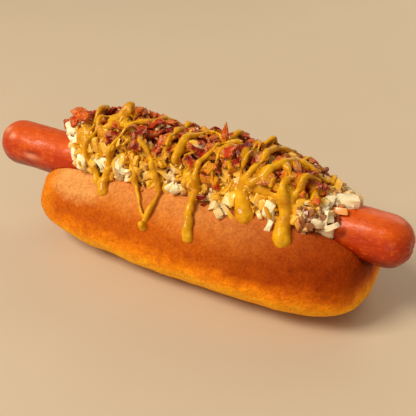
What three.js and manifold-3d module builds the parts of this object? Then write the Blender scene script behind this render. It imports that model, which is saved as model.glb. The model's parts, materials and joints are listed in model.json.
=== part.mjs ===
/**
 * A loaded hot dog. A long frankfurter lies in the groove of a soft bun that is split along its
 * top, chopped onion is heaped on the frankfurter and pushed in between the lips of the bun,
 * crumbled bacon covers the onion, and mustard runs over the heap in a zigzag, with long drips
 * down the near side of the bun.
 *
 * Units are millimetres, +Z is up. X runs along the frankfurter and -Y is the near side. The
 * origin is under the middle of the whole, on the surface that the bun rests on.
 */
import * as THREE from "three";
import { mergeVertices } from "three/addons/utils/BufferGeometryUtils.js";
import Module from "manifold-3d";

// ---- Driving dimensions, mm ----

/** Air left between neighbouring pieces, and the size of the slivers that a cut may leave. */
const GAP = 0.35;
const FINEST_FACET = 0.05;

/** The frankfurter: tip to tip, its half thickness, and its axis above the table. */
const SAUSAGE_LENGTH = 215.6;
const SAUSAGE_RADIUS = 11.5;
const SAUSAGE_AXIS_HEIGHT = 38;
/** How far it sways sideways along its length, and how much its left end narrows. */
const SAUSAGE_SWAY = 0.9;
const SAUSAGE_TAPER = 0.4;
/** How deep the pucker at each tip goes. */
const PUCKER_DEPTH = 0.9;

/** The bun's outer form, and how far its middle lies to the right of the frankfurter's. */
const BUN_LENGTH = 168.5;
const BUN_WIDTH = 73;
const BUN_HEIGHT = 47.5;
const BUN_SHIFT = 7.6;
/** Height of the bun's widest line, and how far its round underside is pressed flat. */
const BUN_WAIST_HEIGHT = 20;
const BUN_PRESSED = 1.2;
/** Powers of the bun's outline: across, in plan, along the crown and along the underside. */
const BUN_SECTION_POWER = 2.1;
const BUN_PLAN_POWER = 4;
const BUN_CROWN_POWER = 3.2;
const BUN_BASE_POWER = 4.5;
/** The left end is slimmer and its underside rounder: its share of the width, and its power. */
const BUN_LEFT_SLIMNESS = 0.86;
const BUN_LEFT_BASE_POWER = 2.8;
/** The groove: how far each lip stands off the frankfurter in the middle of the bun. */
const GROOVE_SPREAD = 4.2;
const GROOVE_LIP_HEIGHT = 44;
/** Over the lips the cut runs on to a height clear of the bun, and flares out on the way. */
const GROOVE_TOP = 90;
const GROOVE_FLARE = 9;

/** The heap: where it starts and ends, its half width and its height over the axis. */
const HEAP_LEFT = -66;
const HEAP_RIGHT = 79;
const HEAP_HALF_WIDTH = 17.5;
const HEAP_FOOT = 7;
const HEAP_SECTION_POWER = 2.3;
/** How deep the onion reaches down between the lips and the frankfurter. */
const HEAP_ROOT_HEIGHT = 41;
/** Height of the heap's core above the frankfurter's axis, at places along it. */
const HEAP_CREST = [
  [-66, 16],
  [-60, 21.5],
  [-50, 25.5],
  [-34, 29.5],
  [-10, 27.5],
  [20, 27],
  [44, 26.5],
  [58, 20.5],
  [69, 15],
  [79, 11.5],
];
/** How far each end of the heap narrows in plan: its length, and the share of width left. */
const HEAP_LEFT_ROUND = 20;
const HEAP_RIGHT_ROUND = 12;
const HEAP_END_SHARE = 0.3;
/** Thickness of the bacon over the onion at the crest, and where along the heap it lies. */
const BACON_DEPTH = 9;
const BACON_LEFT = -62;
const BACON_RIGHT = 67;
/** Over what length inside, and from how far outside, the bacon thins out at each end. */
const BACON_THINNING = 12;
const BACON_FRINGE = 4;
/** How deep the bacon's even layer lies under the tops of its crumbs. */
const BACON_SUNK = 2;
/** Share of a layer's depth by which the layer below it is narrower. */
const SINK_SIDEWAYS = 0.12;
/** How far the bacon's even layer stays over the onion's. */
const BACON_BED = 1.1;
/** Angle round the heap, from the far side over the top, at which the bacon starts and ends. */
const BACON_FROM = 40;
const BACON_TO = 138;

/** Chopped onion: edge lengths, and the pitch of its pieces along and round the heap. */
const ONION_SIZE = [6.4, 4.6, 3.6];
const ONION_PITCH = 9.4;
/** Crumbled bacon, the same. */
const BACON_SIZE = [8.6, 6.2, 5];
const BACON_PITCH = 10.6;

/** Chopped pieces: how far they tilt, in radians, and how uneven and disordered they are. */
const CHIP_TILT = 1.1;
const CHIP_UNEVENNESS = 0.28;
const CHIP_DISORDER = 0.35;
/** By how many degrees a piece may lie off its row, and its smallest and largest scale. */
const ROW_DISORDER = 8;
const CHIP_SCALES = [0.72, 1.22];
/** A crumb of bacon is left out where more of it than this, in mm3, would lie in the onion. */
const MOST_TOUCHING = 8;

/** Onion spilled over the near lip: where, how far to each side, and how far down the flank. */
const SPILLS = [
  { at: 27, reach: 8, end: 130 },
  { at: 51, reach: 2.6, end: 126 },
];
/** Angles round the bun's section: where a spill starts, and from one of its rows to the next. */
const SPILL_START = 110;
const SPILL_ROW = 7;
/** How far past its last row a spill would run to a point, and the pitch of its pieces. */
const SPILL_POINT = 9;
const SPILL_PITCH = 4.6;

/** Mustard: how high a strand's middle runs over the heap, its steps and its sides. */
const STRAND_LIFT = 2.6;
const STRAND_STEP = 5.8;
const STRAND_SIDES = 5;
/** A strand's round end, as shares of its half thickness: its last ring, and how far on it is. */
const STRAND_END_RING = 0.6;
const STRAND_END_REACH = 0.75;
/** The bacon carries the strands between its edges, and the onion past this many degrees more. */
const STRAND_BREAK = 6;
/** The angles round the heap of the zigzag's far and near turns. */
const ZIGZAG_FAR = 26;
const ZIGZAG_NEAR = 172;
/** The zigzag's turns: place along the heap, far or near turn, and half thickness there. */
const ZIGZAG = [
  [-51, ZIGZAG_FAR, 1.5],
  [-38, ZIGZAG_NEAR, 2.1],
  [-28, ZIGZAG_FAR, 1.5],
  [-11, ZIGZAG_NEAR, 1.9],
  [1, ZIGZAG_FAR, 1.6],
  [13, ZIGZAG_NEAR, 2.2],
  [20, ZIGZAG_FAR, 1.6],
  [35, ZIGZAG_NEAR, 3.8],
  [43, ZIGZAG_FAR, 2.2],
  [54, ZIGZAG_NEAR, 3.2],
  [63, ZIGZAG_FAR, 1.7],
];

/**
 * Drips down the near flank of the bun: where each leaves the lip, where it ends, how far down
 * the flank it ends as an angle round the bun's section, and its half width there.
 */
const DRIPS = [
  { from: -35, to: -33.5, end: 146, width: 3.1 },
  { from: -42, to: -35, end: 139, width: 1.8 },
  { from: -18, to: -8.5, end: 152, width: 1.6 },
  { from: -4.5, to: -7, end: 156, width: 2.7 },
  { from: 13.5, to: 16.5, end: 157, width: 2.9 },
  { from: 34.5, to: 38, end: 125, width: 5.2 },
  { from: 53.5, to: 58, end: 138, width: 4.4 },
];
/** Where drips start under the lip, their half width there, and how proud of the bun they are. */
const DRIP_START = 119;
const DRIP_NECK = 1.6;
const DRIP_THICKNESS = 2.1;
const DRIP_SIDES = 8;
const DRIP_STEPS = 5;

/** How finely the round forms are divided: sides or steps round, and stations along. */
const SAUSAGE_SIDES = 20;
const SAUSAGE_CAP_STEPS = 5;
const SAUSAGE_BODY_STEPS = 9;
const BUN_SIDES = 28;
const BUN_STATIONS = 24;
const GROOVE_FLOOR_STEPS = 7;
const GROOVE_STATIONS = 12;
const MOUND_STATIONS = 12;
const MOUND_STEP_DEGREES = 25;

// ---- Small helpers ----

const radians = THREE.MathUtils.degToRad;

/** A repeatable stream of numbers from 0 to 1. */
function randomStream(seed) {
  let state = seed;
  return () => {
    state = (state * 1664525 + 1013904223) % 4294967296;
    return state / 4294967296;
  };
}

/** The height of the rounded outline |s|^p + h^p = 1 at s. */
function outline(s, power) {
  return Math.pow(Math.max(0, 1 - Math.pow(Math.abs(s), power)), 1 / power);
}

/** The point of a rounded section at an angle: cosine and sine, squared off by its power. */
function sectionPoint(angle, power) {
  const [c, s] = [Math.cos(angle), Math.sin(angle)];
  const square = (v) => Math.sign(v) * Math.pow(Math.abs(v), 2 / power);
  return [square(c), square(s)];
}

/** Places from -1 to 1 that crowd together near both ends. */
function crowdedPlaces(count) {
  return Array.from({ length: count }, (_, i) => -Math.cos((Math.PI * (i + 0.35)) / (count - 0.3)));
}

/** A smooth run through [place, value] pairs, held level past both ends. */
function smoothRun(pairs, place) {
  const last = pairs.length - 1;
  if (place <= pairs[0][0]) return pairs[0][1];
  if (place >= pairs[last][0]) return pairs[last][1];
  const i = pairs.findIndex(([x]) => x > place) - 1;
  const [x0, v0] = pairs[i];
  const [x1, v1] = pairs[i + 1];
  const slopeAt = (k) => {
    const [a, b] = [pairs[Math.max(0, k - 1)], pairs[Math.min(last, k + 1)]];
    return (b[1] - a[1]) / (b[0] - a[0]);
  };
  const [t, h] = [(place - x0) / (x1 - x0), x1 - x0];
  const [m0, m1] = [slopeAt(i) * h, slopeAt(i + 1) * h];
  const [t2, t3] = [t * t, t * t * t];
  return (
    (2 * t3 - 3 * t2 + 1) * v0 +
    (t3 - 2 * t2 + t) * m0 +
    (3 * t2 - 2 * t3) * v1 +
    (t3 - t2) * m1
  );
}

const manifold = await Module();
manifold.setup();

/** A closed geometry as a solid that can be joined and cut. */
function solidOf(geometry) {
  geometry.deleteAttribute("normal");
  geometry.deleteAttribute("uv");
  const merged = mergeVertices(geometry, 1e-4);
  return new manifold.Manifold(
    new manifold.Mesh({
      numProp: 3,
      vertProperties: Float32Array.from(merged.attributes.position.array),
      triVerts: Uint32Array.from(merged.index.array),
    }),
  );
}

/** Several solids joined into one. */
function joined(solids) {
  return solids.reduce((whole, piece) => whole.add(piece));
}

/** The largest body of a solid, so that loose scraps drop away, without its finest slivers. */
function largestBody(solid) {
  const bodies = solid.decompose();
  const largest = bodies.reduce((best, body) => (body.volume() > best.volume() ? body : best));
  return largest.simplify(FINEST_FACET);
}

/** The mean place of a ring of points. */
function middleOf(ring) {
  const middle = new THREE.Vector3();
  ring.forEach((point) => middle.add(new THREE.Vector3(...point)));
  return middle.divideScalar(ring.length);
}

/**
 * A closed skin through rings of [x, y, z] points. Each ring turns from +Y to +Z as the rings
 * advance along +X, and a fan round its middle closes each end, pushed out by endPush.
 */
function skin(rings, endPush = [0, 0]) {
  const count = rings[0].length;
  const points = rings.flat();
  const faces = [];
  for (let r = 0; r + 1 < rings.length; r += 1) {
    for (let i = 0; i < count; i += 1) {
      const [a, b] = [r * count + i, r * count + ((i + 1) % count)];
      faces.push(a, b, a + count, b, b + count, a + count);
    }
  }
  [0, rings.length - 1].forEach((end, side) => {
    const middle = middleOf(rings[end]);
    const away = middle.clone().sub(middleOf(rings[side ? end - 1 : 1])).setLength(endPush[side]);
    points.push(middle.add(away).toArray());
    const centre = points.length - 1;
    for (let i = 0; i < count; i += 1) {
      const [a, b] = [end * count + i, end * count + ((i + 1) % count)];
      faces.push(...(side ? [centre, a, b] : [centre, b, a]));
    }
  });
  const geometry = new THREE.BufferGeometry();
  geometry.setAttribute("position", new THREE.Float32BufferAttribute(points.flat(), 3));
  geometry.setIndex(faces);
  return geometry;
}

// ---- The frankfurter ----

/** Sideways place of the frankfurter's axis. */
function sausageSway(x) {
  return SAUSAGE_SWAY * Math.sin((2 * Math.PI * x) / SAUSAGE_LENGTH);
}

/** The frankfurter, with its surface moved out by a margin. */
function sausageSolid(margin) {
  const straight = SAUSAGE_LENGTH / 2 - SAUSAGE_RADIUS;
  const firstStep = 0.45;
  const stations = [];
  for (let i = 0; i < SAUSAGE_CAP_STEPS; i += 1) {
    const angle = (Math.PI / 2) * (1 - (i + firstStep) / (SAUSAGE_CAP_STEPS + firstStep));
    stations.push([-straight - SAUSAGE_RADIUS * Math.sin(angle), Math.cos(angle)]);
  }
  for (let i = 0; i <= SAUSAGE_BODY_STEPS; i += 1) {
    stations.push([-straight + (2 * straight * i) / SAUSAGE_BODY_STEPS, 1]);
  }
  for (const [x, share] of stations.slice(0, SAUSAGE_CAP_STEPS).reverse()) {
    stations.push([-x, share]);
  }
  const rings = stations.map(([x, share]) => {
    const taper = SAUSAGE_TAPER * THREE.MathUtils.smoothstep(-x, 0, SAUSAGE_LENGTH / 2);
    const radius = share * (SAUSAGE_RADIUS - taper) + margin;
    const place = x + Math.sign(x) * (1 - share) * margin;
    return Array.from({ length: SAUSAGE_SIDES }, (_, i) => {
      const angle = (2 * Math.PI * i) / SAUSAGE_SIDES;
      return [
        place,
        sausageSway(x) + radius * Math.cos(angle),
        SAUSAGE_AXIS_HEIGHT + radius * Math.sin(angle),
      ];
    });
  });
  const tip = margin > 0 ? margin : -PUCKER_DEPTH;
  return solidOf(skin(rings, [tip, tip]));
}

// ---- The bun ----

/** Place of a station along the bun as a share from -1 to 1. */
function bunShare(x) {
  return (2 * (x - BUN_SHIFT)) / BUN_LENGTH;
}

/** A point of the bun's outer surface, at x and an angle from +Y over the top, in degrees. */
function bunPoint(x, degrees, margin = 0) {
  const share = bunShare(x);
  const leftness = THREE.MathUtils.smoothstep(-share, -0.6, 1);
  const slimness = THREE.MathUtils.lerp(1, BUN_LEFT_SLIMNESS, leftness);
  const basePower = THREE.MathUtils.lerp(BUN_BASE_POWER, BUN_LEFT_BASE_POWER, leftness);
  const [c, s] = sectionPoint(radians(degrees), BUN_SECTION_POWER);
  const width = (BUN_WIDTH / 2) * slimness * outline(share, BUN_PLAN_POWER) + margin;
  const crown = (BUN_HEIGHT - BUN_WAIST_HEIGHT) * outline(share, BUN_CROWN_POWER) + margin;
  const base = (BUN_WAIST_HEIGHT + BUN_PRESSED) * outline(share, basePower) + margin;
  const z = BUN_WAIST_HEIGHT + (s > 0 ? crown : base) * s;
  return new THREE.Vector3(x, width * c, Math.max(z, -margin));
}

/** The bun's outer form as a solid, moved out by a margin. */
function bunOuter(margin) {
  const endPush = 0.5;
  const rings = crowdedPlaces(BUN_STATIONS).map((place) => {
    const x = BUN_SHIFT + (place * BUN_LENGTH) / 2;
    return Array.from({ length: BUN_SIDES }, (_, i) => {
      const point = bunPoint(x, (360 * i) / BUN_SIDES, margin);
      return [point.x + place * margin, point.y, point.z];
    });
  });
  return solidOf(skin(rings, [endPush, endPush]));
}

/** How far a lip stands off the axis at x. */
function lipDistance(x) {
  const share = THREE.MathUtils.clamp(bunShare(x), -1, 1);
  return SAUSAGE_RADIUS + 2 * GAP + GROOVE_SPREAD * (1 - share * share);
}

/** How far the groove's wall stands off the axis at x and a height. */
function wallDistance(x, height) {
  const rise = (height - SAUSAGE_AXIS_HEIGHT) / (GROOVE_LIP_HEIGHT - SAUSAGE_AXIS_HEIGHT);
  return THREE.MathUtils.lerp(SAUSAGE_RADIUS + GAP, lipDistance(x), rise);
}

/** The groove that holds the frankfurter and the foot of the heap, with its walls moved in. */
function grooveSolid(inset) {
  const reach = BUN_LENGTH / 2 + 8;
  const rings = Array.from({ length: GROOVE_STATIONS }, (_, i) => {
    const x = BUN_SHIFT + reach * ((2 * i) / (GROOVE_STATIONS - 1) - 1);
    const middle = sausageSway(x);
    const radius = SAUSAGE_RADIUS + GAP - inset;
    const lip = lipDistance(x) - inset;
    const ring = [
      [radius, SAUSAGE_AXIS_HEIGHT],
      [lip, GROOVE_LIP_HEIGHT],
      [lip + GROOVE_FLARE, GROOVE_TOP],
      [-lip - GROOVE_FLARE, GROOVE_TOP],
      [-lip, GROOVE_LIP_HEIGHT],
    ];
    for (let k = 0; k < GROOVE_FLOOR_STEPS; k += 1) {
      const angle = Math.PI * (1 + k / GROOVE_FLOOR_STEPS);
      ring.push([radius * Math.cos(angle), SAUSAGE_AXIS_HEIGHT + radius * Math.sin(angle)]);
    }
    return ring.map(([y, z]) => [x, y + middle, z]);
  });
  return solidOf(skin(rings));
}

// ---- The heap of onion and bacon ----

/** Depth of the bacon at x, which thins out towards both of its ends. */
function baconDepth(x) {
  const fade = (inside) => THREE.MathUtils.smoothstep(inside, -BACON_FRINGE, BACON_THINNING);
  return BACON_DEPTH * fade(x - BACON_LEFT) * fade(BACON_RIGHT - x);
}

/** Where a point of the heap lies: x, an angle from +Y over the top, and a lift outwards. */
function heapPoint(x, degrees, lift = 0, sink = 0) {
  const leftEnd = (HEAP_LEFT + HEAP_LEFT_ROUND - x) / HEAP_LEFT_ROUND;
  const rightEnd = (x - HEAP_RIGHT + HEAP_RIGHT_ROUND) / HEAP_RIGHT_ROUND;
  const end = THREE.MathUtils.clamp(Math.max(leftEnd, rightEnd), 0, 1);
  const [c, s] = sectionPoint(radians(degrees), HEAP_SECTION_POWER);
  const taper = HEAP_END_SHARE + (1 - HEAP_END_SHARE) * outline(end, 2);
  const width = HEAP_HALF_WIDTH * taper + lift - sink * SINK_SIDEWAYS;
  const foot = SAUSAGE_AXIS_HEIGHT + HEAP_FOOT;
  const crest = smoothRun(HEAP_CREST, x) - HEAP_FOOT + lift - sink;
  return new THREE.Vector3(x, sausageSway(x) + width * c, foot + crest * s);
}

/** The onion's bare mound: the heap less the bacon's depth, and its foot in the groove. */
function moundSolid(margin) {
  const rings = moundPlaces(HEAP_LEFT - margin, HEAP_RIGHT + margin).map((x) => {
    const ring = moundArc(x, 0, 180, margin, baconDepth(x));
    const narrowing = (ring[0][1] - ring[ring.length - 1][1]) / 2 / HEAP_HALF_WIDTH;
    const footAt = (side, height) => {
      const distance = Math.min(1, narrowing) * (wallDistance(x, height) - 2 * GAP + margin);
      return [x, sausageSway(x) + side * distance, height];
    };
    const heights = [GROOVE_LIP_HEIGHT, HEAP_ROOT_HEIGHT];
    const nearFoot = heights.map((height) => footAt(-1, height));
    const farFoot = heights.map((height) => footAt(1, height)).reverse();
    return [...ring, ...nearFoot, ...farFoot];
  });
  return solidOf(skin(rings));
}

/** The bacon's bare layer: a shell over the crest of the onion. */
function layerSolid() {
  const rings = moundPlaces(BACON_LEFT, BACON_RIGHT).map((x) => [
    ...moundArc(x, BACON_FROM, BACON_TO, 0, BACON_SUNK),
    ...moundArc(x, BACON_TO, BACON_FROM, BACON_BED, baconDepth(x)),
  ]);
  return solidOf(skin(rings));
}

/** Evenly spaced stations along the heap. */
function moundPlaces(left, right) {
  const step = (right - left) / (MOUND_STATIONS - 1);
  return Array.from({ length: MOUND_STATIONS }, (_, i) => left + step * i);
}

/** Points round the heap at x, from one angle to another, evenly spaced. */
function moundArc(x, from, to, lift, sink) {
  const steps = Math.round(Math.abs(to - from) / MOUND_STEP_DEGREES);
  return Array.from({ length: steps + 1 }, (_, k) =>
    heapPoint(x, from + ((to - from) * k) / steps, lift, sink).toArray(),
  );
}

/** The frame of the heap's surface at a place: along the heap, round it, and outwards. */
function heapBed(x, degrees, lift, sink) {
  const place = heapPoint(x, degrees, lift, sink);
  const along = heapPoint(x + 1, degrees, lift, sink).sub(heapPoint(x - 1, degrees, lift, sink));
  const round = heapPoint(x, degrees - 2, lift, sink).sub(heapPoint(x, degrees + 2, lift, sink));
  const outwards = along.clone().cross(round).normalize();
  along.normalize();
  return new THREE.Matrix4()
    .makeBasis(along, outwards.clone().cross(along), outwards)
    .setPosition(place);
}

/** A chopped piece with uneven corners that lies on a bed; a margin grows it on all sides. */
class Chip {
  constructor(bed, size, random) {
    const turn = new THREE.Euler(
      CHIP_TILT * (random() - 0.5),
      CHIP_TILT * (random() - 0.5),
      2 * Math.PI * random(),
    );
    this.matrix = bed.multiply(new THREE.Matrix4().makeRotationFromEuler(turn));
    this.size = size.map((edge) => edge * THREE.MathUtils.lerp(...CHIP_SCALES, random()));
    this.corners = Array.from({ length: 24 }, () => CHIP_UNEVENNESS * (random() - 0.5));
  }

  /** The chip as a solid. */
  solid(margin) {
    const [length, width, height] = this.size.map((edge) => edge + 2 * margin);
    const box = new THREE.BoxGeometry(length, width, height);
    box.deleteAttribute("normal");
    box.deleteAttribute("uv");
    const geometry = mergeVertices(box);
    const position = geometry.attributes.position;
    for (let i = 0; i < position.count; i += 1) {
      position.setXYZ(
        i,
        position.getX(i) + this.corners[3 * i] * this.size[0],
        position.getY(i) + this.corners[3 * i + 1] * this.size[1],
        position.getZ(i) + this.corners[3 * i + 2] * this.size[2],
      );
    }
    return solidOf(geometry.applyMatrix4(this.matrix));
  }
}

/**
 * Chips spread evenly over the heap where a rule wants them, with a little disorder. The rows are
 * angles round the heap, and every other row is moved along by half a pitch.
 */
function spreadChips({ rows, pitch, size, lift, sink, seed, wanted }) {
  const random = randomStream(seed);
  const chips = [];
  for (let x = HEAP_LEFT; x <= HEAP_RIGHT; x += pitch) {
    rows.forEach((row, k) => {
      const along = x + pitch * (0.5 * (k % 2) + CHIP_DISORDER * (random() - 0.5));
      const angle = row + ROW_DISORDER * (random() - 0.5);
      const bed = heapBed(along, angle, lift * random(), sink);
      const chip = new Chip(bed, size, random);
      if (wanted(along, angle)) chips.push(chip);
    });
  }
  return chips;
}

/** Chips of a spill, in rows down the flank of the bun that grow shorter. */
function spillChips({ at, reach, end }, random) {
  const chips = [];
  const point = end + SPILL_POINT;
  const disorder = 3;
  const lift = 0.4 * ONION_SIZE[2];
  for (let angle = SPILL_START; angle <= end; angle += SPILL_ROW) {
    const half = (reach * (point - angle)) / (point - SPILL_START);
    for (let x = at - half; x <= at + half; x += SPILL_PITCH) {
      const place = bunPoint(x, angle + disorder * (random() - 0.5), lift);
      const bed = new THREE.Matrix4().makeRotationX(radians(angle - 90)).setPosition(place);
      chips.push(new Chip(bed, ONION_SIZE, random));
    }
  }
  return chips;
}

/** Whether a place of the heap is under the bacon. */
function underBacon(x, angle) {
  return x > BACON_LEFT && x < BACON_RIGHT && angle > BACON_FROM && angle < BACON_TO;
}

// ---- Mustard ----

/** A round strand along a path of points, its half thickness given at each, with round ends. */
class Strand {
  constructor(path, radii, sides) {
    this.path = path;
    this.radii = radii;
    this.sides = sides;
  }

  /** The strand as a solid, grown by a margin. */
  solid(margin) {
    const { path, radii, sides } = this;
    const last = path.length - 1;
    const side = new THREE.Vector3(1, 0.3, 0.1);
    const ringAt = (i, share, shift) => {
      const ahead = path[Math.min(last, i + 1)].clone().sub(path[Math.max(0, i - 1)]).normalize();
      const across = side.clone().addScaledVector(ahead, -side.dot(ahead)).normalize();
      const up = ahead.clone().cross(across);
      side.copy(across);
      const radius = (radii[i] + margin) * share;
      const centre = path[i].clone().addScaledVector(ahead, shift * (radii[i] + margin));
      return Array.from({ length: sides }, (_, k) => {
        const angle = (2 * Math.PI * k) / sides;
        const point = centre
          .clone()
          .addScaledVector(across, radius * Math.cos(angle))
          .addScaledVector(up, radius * Math.sin(angle));
        return point.toArray();
      });
    };
    const endPush = 0.2;
    const rings = [ringAt(0, STRAND_END_RING, -STRAND_END_REACH)];
    path.forEach((_, i) => rings.push(ringAt(i, 1, 0)));
    rings.push(ringAt(last, STRAND_END_RING, STRAND_END_REACH));
    return solidOf(skin(rings, [endPush, endPush]));
  }
}

/** The strands of the zigzag that lie between two angles round the heap. */
function zigzagStrands(lowest, highest) {
  const turns = ZIGZAG.map((turn) => new THREE.Vector3(...turn));
  const curve = new THREE.CatmullRomCurve3(turns, false, "centripetal");
  const samplesPerTurn = 24;
  const count = samplesPerTurn * ZIGZAG.length;
  const strands = [];
  let [path, radii] = [[], []];
  const close = () => {
    if (path.length > 2) strands.push(new Strand(path, radii, STRAND_SIDES));
    [path, radii] = [[], []];
  };
  for (let i = 0; i <= count; i += 1) {
    const { x, y: angle, z: radius } = curve.getPoint(i / count);
    const point = heapPoint(x, angle, STRAND_LIFT);
    const inside = angle > lowest && angle < highest;
    const far = !path.length || point.distanceTo(path[path.length - 1]) > STRAND_STEP;
    if (!inside) {
      close();
    } else if (far) {
      path.push(point);
      radii.push(radius);
    }
  }
  close();
  return strands;
}

/** A drip down the near flank of the bun, from under the lip to a heavier round end. */
function dripStrand({ from, to, end, width }) {
  const places = Array.from({ length: DRIP_STEPS + 1 }, (_, i) => i / DRIP_STEPS);
  const radii = places.map((t) => THREE.MathUtils.lerp(DRIP_NECK, width, t * t));
  const path = places.map((t, i) => {
    const [x, angle] = [from + (to - from) * t, DRIP_START + (end - DRIP_START) * t];
    return bunPoint(x, angle, DRIP_THICKNESS - radii[i]);
  });
  return new Strand(path, radii, DRIP_SIDES);
}

// ---- The pieces, each cut clear of those below it ----

const drips = DRIPS.map(dripStrand);
const groove = grooveSolid(0);
const bread = bunOuter(0).subtract(groove);
const bun = largestBody(joined([bread, ...drips.map((drip) => drip.solid(0))]).subtract(groove));
const sausage = sausageSolid(0);

const bunClear = joined([
  bunOuter(GAP).subtract(grooveSolid(GAP)),
  ...drips.map((drip) => drip.solid(GAP)),
]);
const sausageClear = sausageSolid(GAP);

const spillStream = randomStream(31);
const onionChips = [
  ...spreadChips({
    rows: [12, 31, 52, 74, 96, 118, 136, 152, 170],
    pitch: ONION_PITCH,
    size: ONION_SIZE,
    lift: 0.8,
    sink: 0.6,
    seed: 5,
    wanted: (x, angle) => x < HEAP_RIGHT - 2 && !underBacon(x, angle),
  }),
  ...SPILLS.flatMap((spill) => spillChips(spill, spillStream)),
];
const onionStrands = [
  ...zigzagStrands(0, BACON_FROM - STRAND_BREAK),
  ...zigzagStrands(BACON_TO + STRAND_BREAK, 180),
];
const onionSolids = (margin) =>
  joined([
    moundSolid(margin),
    ...onionChips.map((chip) => chip.solid(margin)),
    ...onionStrands.map((strand) => strand.solid(margin)),
  ]);
const onion = largestBody(onionSolids(0).subtract(bunClear).subtract(sausageClear));
const onionClear = onionSolids(GAP);

const baconChips = spreadChips({
  rows: [51, 71, 91, 110, 128],
  pitch: BACON_PITCH,
  size: BACON_SIZE,
  lift: 1.2,
  sink: 1.2,
  seed: 23,
  wanted: underBacon,
});
const baconStrands = zigzagStrands(BACON_FROM, BACON_TO);
const isClear = (piece) => piece.solid(0).intersect(onionClear).volume() < MOST_TOUCHING;
const bacon = largestBody(
  joined([
    layerSolid(),
    ...baconChips.filter(isClear).map((chip) => chip.solid(0)),
    ...baconStrands.map((strand) => strand.solid(0)),
  ]).subtract(onionClear),
);

// ---- The finished part ----

/** A solid as a named mesh of one colour. */
function meshOf(name, solid, color, roughness) {
  const { numProp, vertProperties, triVerts } = solid.getMesh();
  const geometry = new THREE.BufferGeometry();
  const points = new THREE.BufferAttribute(Float32Array.from(vertProperties), numProp);
  geometry.setAttribute("position", points);
  geometry.setIndex(new THREE.BufferAttribute(Uint32Array.from(triVerts), 1));
  geometry.computeVertexNormals();
  const material = new THREE.MeshStandardMaterial({ color, roughness, metalness: 0 });
  const mesh = new THREE.Mesh(geometry, material);
  mesh.name = name;
  return mesh;
}

const hotDog = new THREE.Group();
hotDog.name = "hot_dog";
hotDog.add(
  meshOf("bun", bun, 0xcf7a2c, 0.6),
  meshOf("sausage", sausage, 0xc8421a, 0.3),
  meshOf("onion_heap", onion, 0xf1e3b4, 0.45),
  meshOf("bacon_heap", bacon, 0x8c2c20, 0.4),
);

export default hotDog;
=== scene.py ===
"""A loaded hot dog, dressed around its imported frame.

A long frankfurter lies in a bun that is split along its top. Chopped onion is heaped on it, crumbled bacon
covers the onion, and mustard runs over the heap in a zigzag and drips down the near side of the bun.

Shapes are worked out in millimetres and put into meshes in metres. X runs along the frankfurter, -Y is the
near side and Z is up. A place on the heap is a place along X and an angle round a line just over the
frankfurter's axis: 0 is the far side, 90 the top, 180 the near side, and more than 180 the bun's near flank.
"""

import json
import logging
import math
from dataclasses import dataclass
from enum import Enum
from itertools import product

import bpy
import numpy as np
from mathutils import Euler, Matrix, Vector
from mathutils.bvhtree import BVHTree
from mathutils.kdtree import KDTree

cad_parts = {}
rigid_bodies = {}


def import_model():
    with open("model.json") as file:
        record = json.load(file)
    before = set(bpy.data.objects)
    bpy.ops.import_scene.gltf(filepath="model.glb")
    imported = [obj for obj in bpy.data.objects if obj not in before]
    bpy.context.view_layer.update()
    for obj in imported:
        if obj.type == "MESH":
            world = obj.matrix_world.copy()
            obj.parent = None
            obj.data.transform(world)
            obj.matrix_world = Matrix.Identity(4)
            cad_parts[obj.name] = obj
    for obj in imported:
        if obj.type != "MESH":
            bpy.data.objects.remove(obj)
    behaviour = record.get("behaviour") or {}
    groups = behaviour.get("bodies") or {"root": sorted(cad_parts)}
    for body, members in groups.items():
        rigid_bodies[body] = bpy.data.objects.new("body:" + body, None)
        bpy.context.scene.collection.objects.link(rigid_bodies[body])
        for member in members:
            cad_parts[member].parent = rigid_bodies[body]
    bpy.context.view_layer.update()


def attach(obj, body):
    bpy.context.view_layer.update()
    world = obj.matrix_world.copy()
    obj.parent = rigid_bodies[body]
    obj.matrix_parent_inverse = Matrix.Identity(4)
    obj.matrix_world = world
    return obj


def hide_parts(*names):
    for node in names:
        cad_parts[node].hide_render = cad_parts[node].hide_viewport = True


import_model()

log = logging.getLogger("hot_dog")

MM = 0.001
BODY = "root"

Triple = tuple[float, float, float]
Colour = Triple
Span = tuple[float, float]
Array = np.ndarray
Numbers = np.ndarray | float
Piece = bpy.types.Object
Material = bpy.types.Material
Tree = bpy.types.NodeTree
Socket = bpy.types.NodeSocket


# ---- Numbers and shapes ----


def eased(values: Numbers, start: Numbers, end: Numbers) -> Array:
    """A smooth rise of values from 0 at start to 1 at end, which may be below start."""
    share = np.clip((np.asarray(values, float) - start) / (end - start), 0.0, 1.0)
    return share * share * (3.0 - 2.0 * share)


def outline(share: Numbers, power: Numbers) -> Array:
    """The height at share of the rounded outline |s|^p + h^p = 1."""
    return np.maximum(0.0, 1.0 - np.abs(share) ** power) ** (1.0 / power)


def section(degrees: Numbers, power: float) -> tuple[Array, Array]:
    """The point of a rounded section of half width 1.

    Args:
        degrees: angle from +Y over the top.
        power: how square the section is; 2 is round.

    Returns:
        Its shares of the half width and of the half height.
    """
    angle = np.radians(degrees)
    cosine, sine = np.cos(angle), np.sin(angle)
    flat = 2.0 / power
    return np.sign(cosine) * np.abs(cosine) ** flat, np.sign(sine) * np.abs(sine) ** flat


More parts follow.
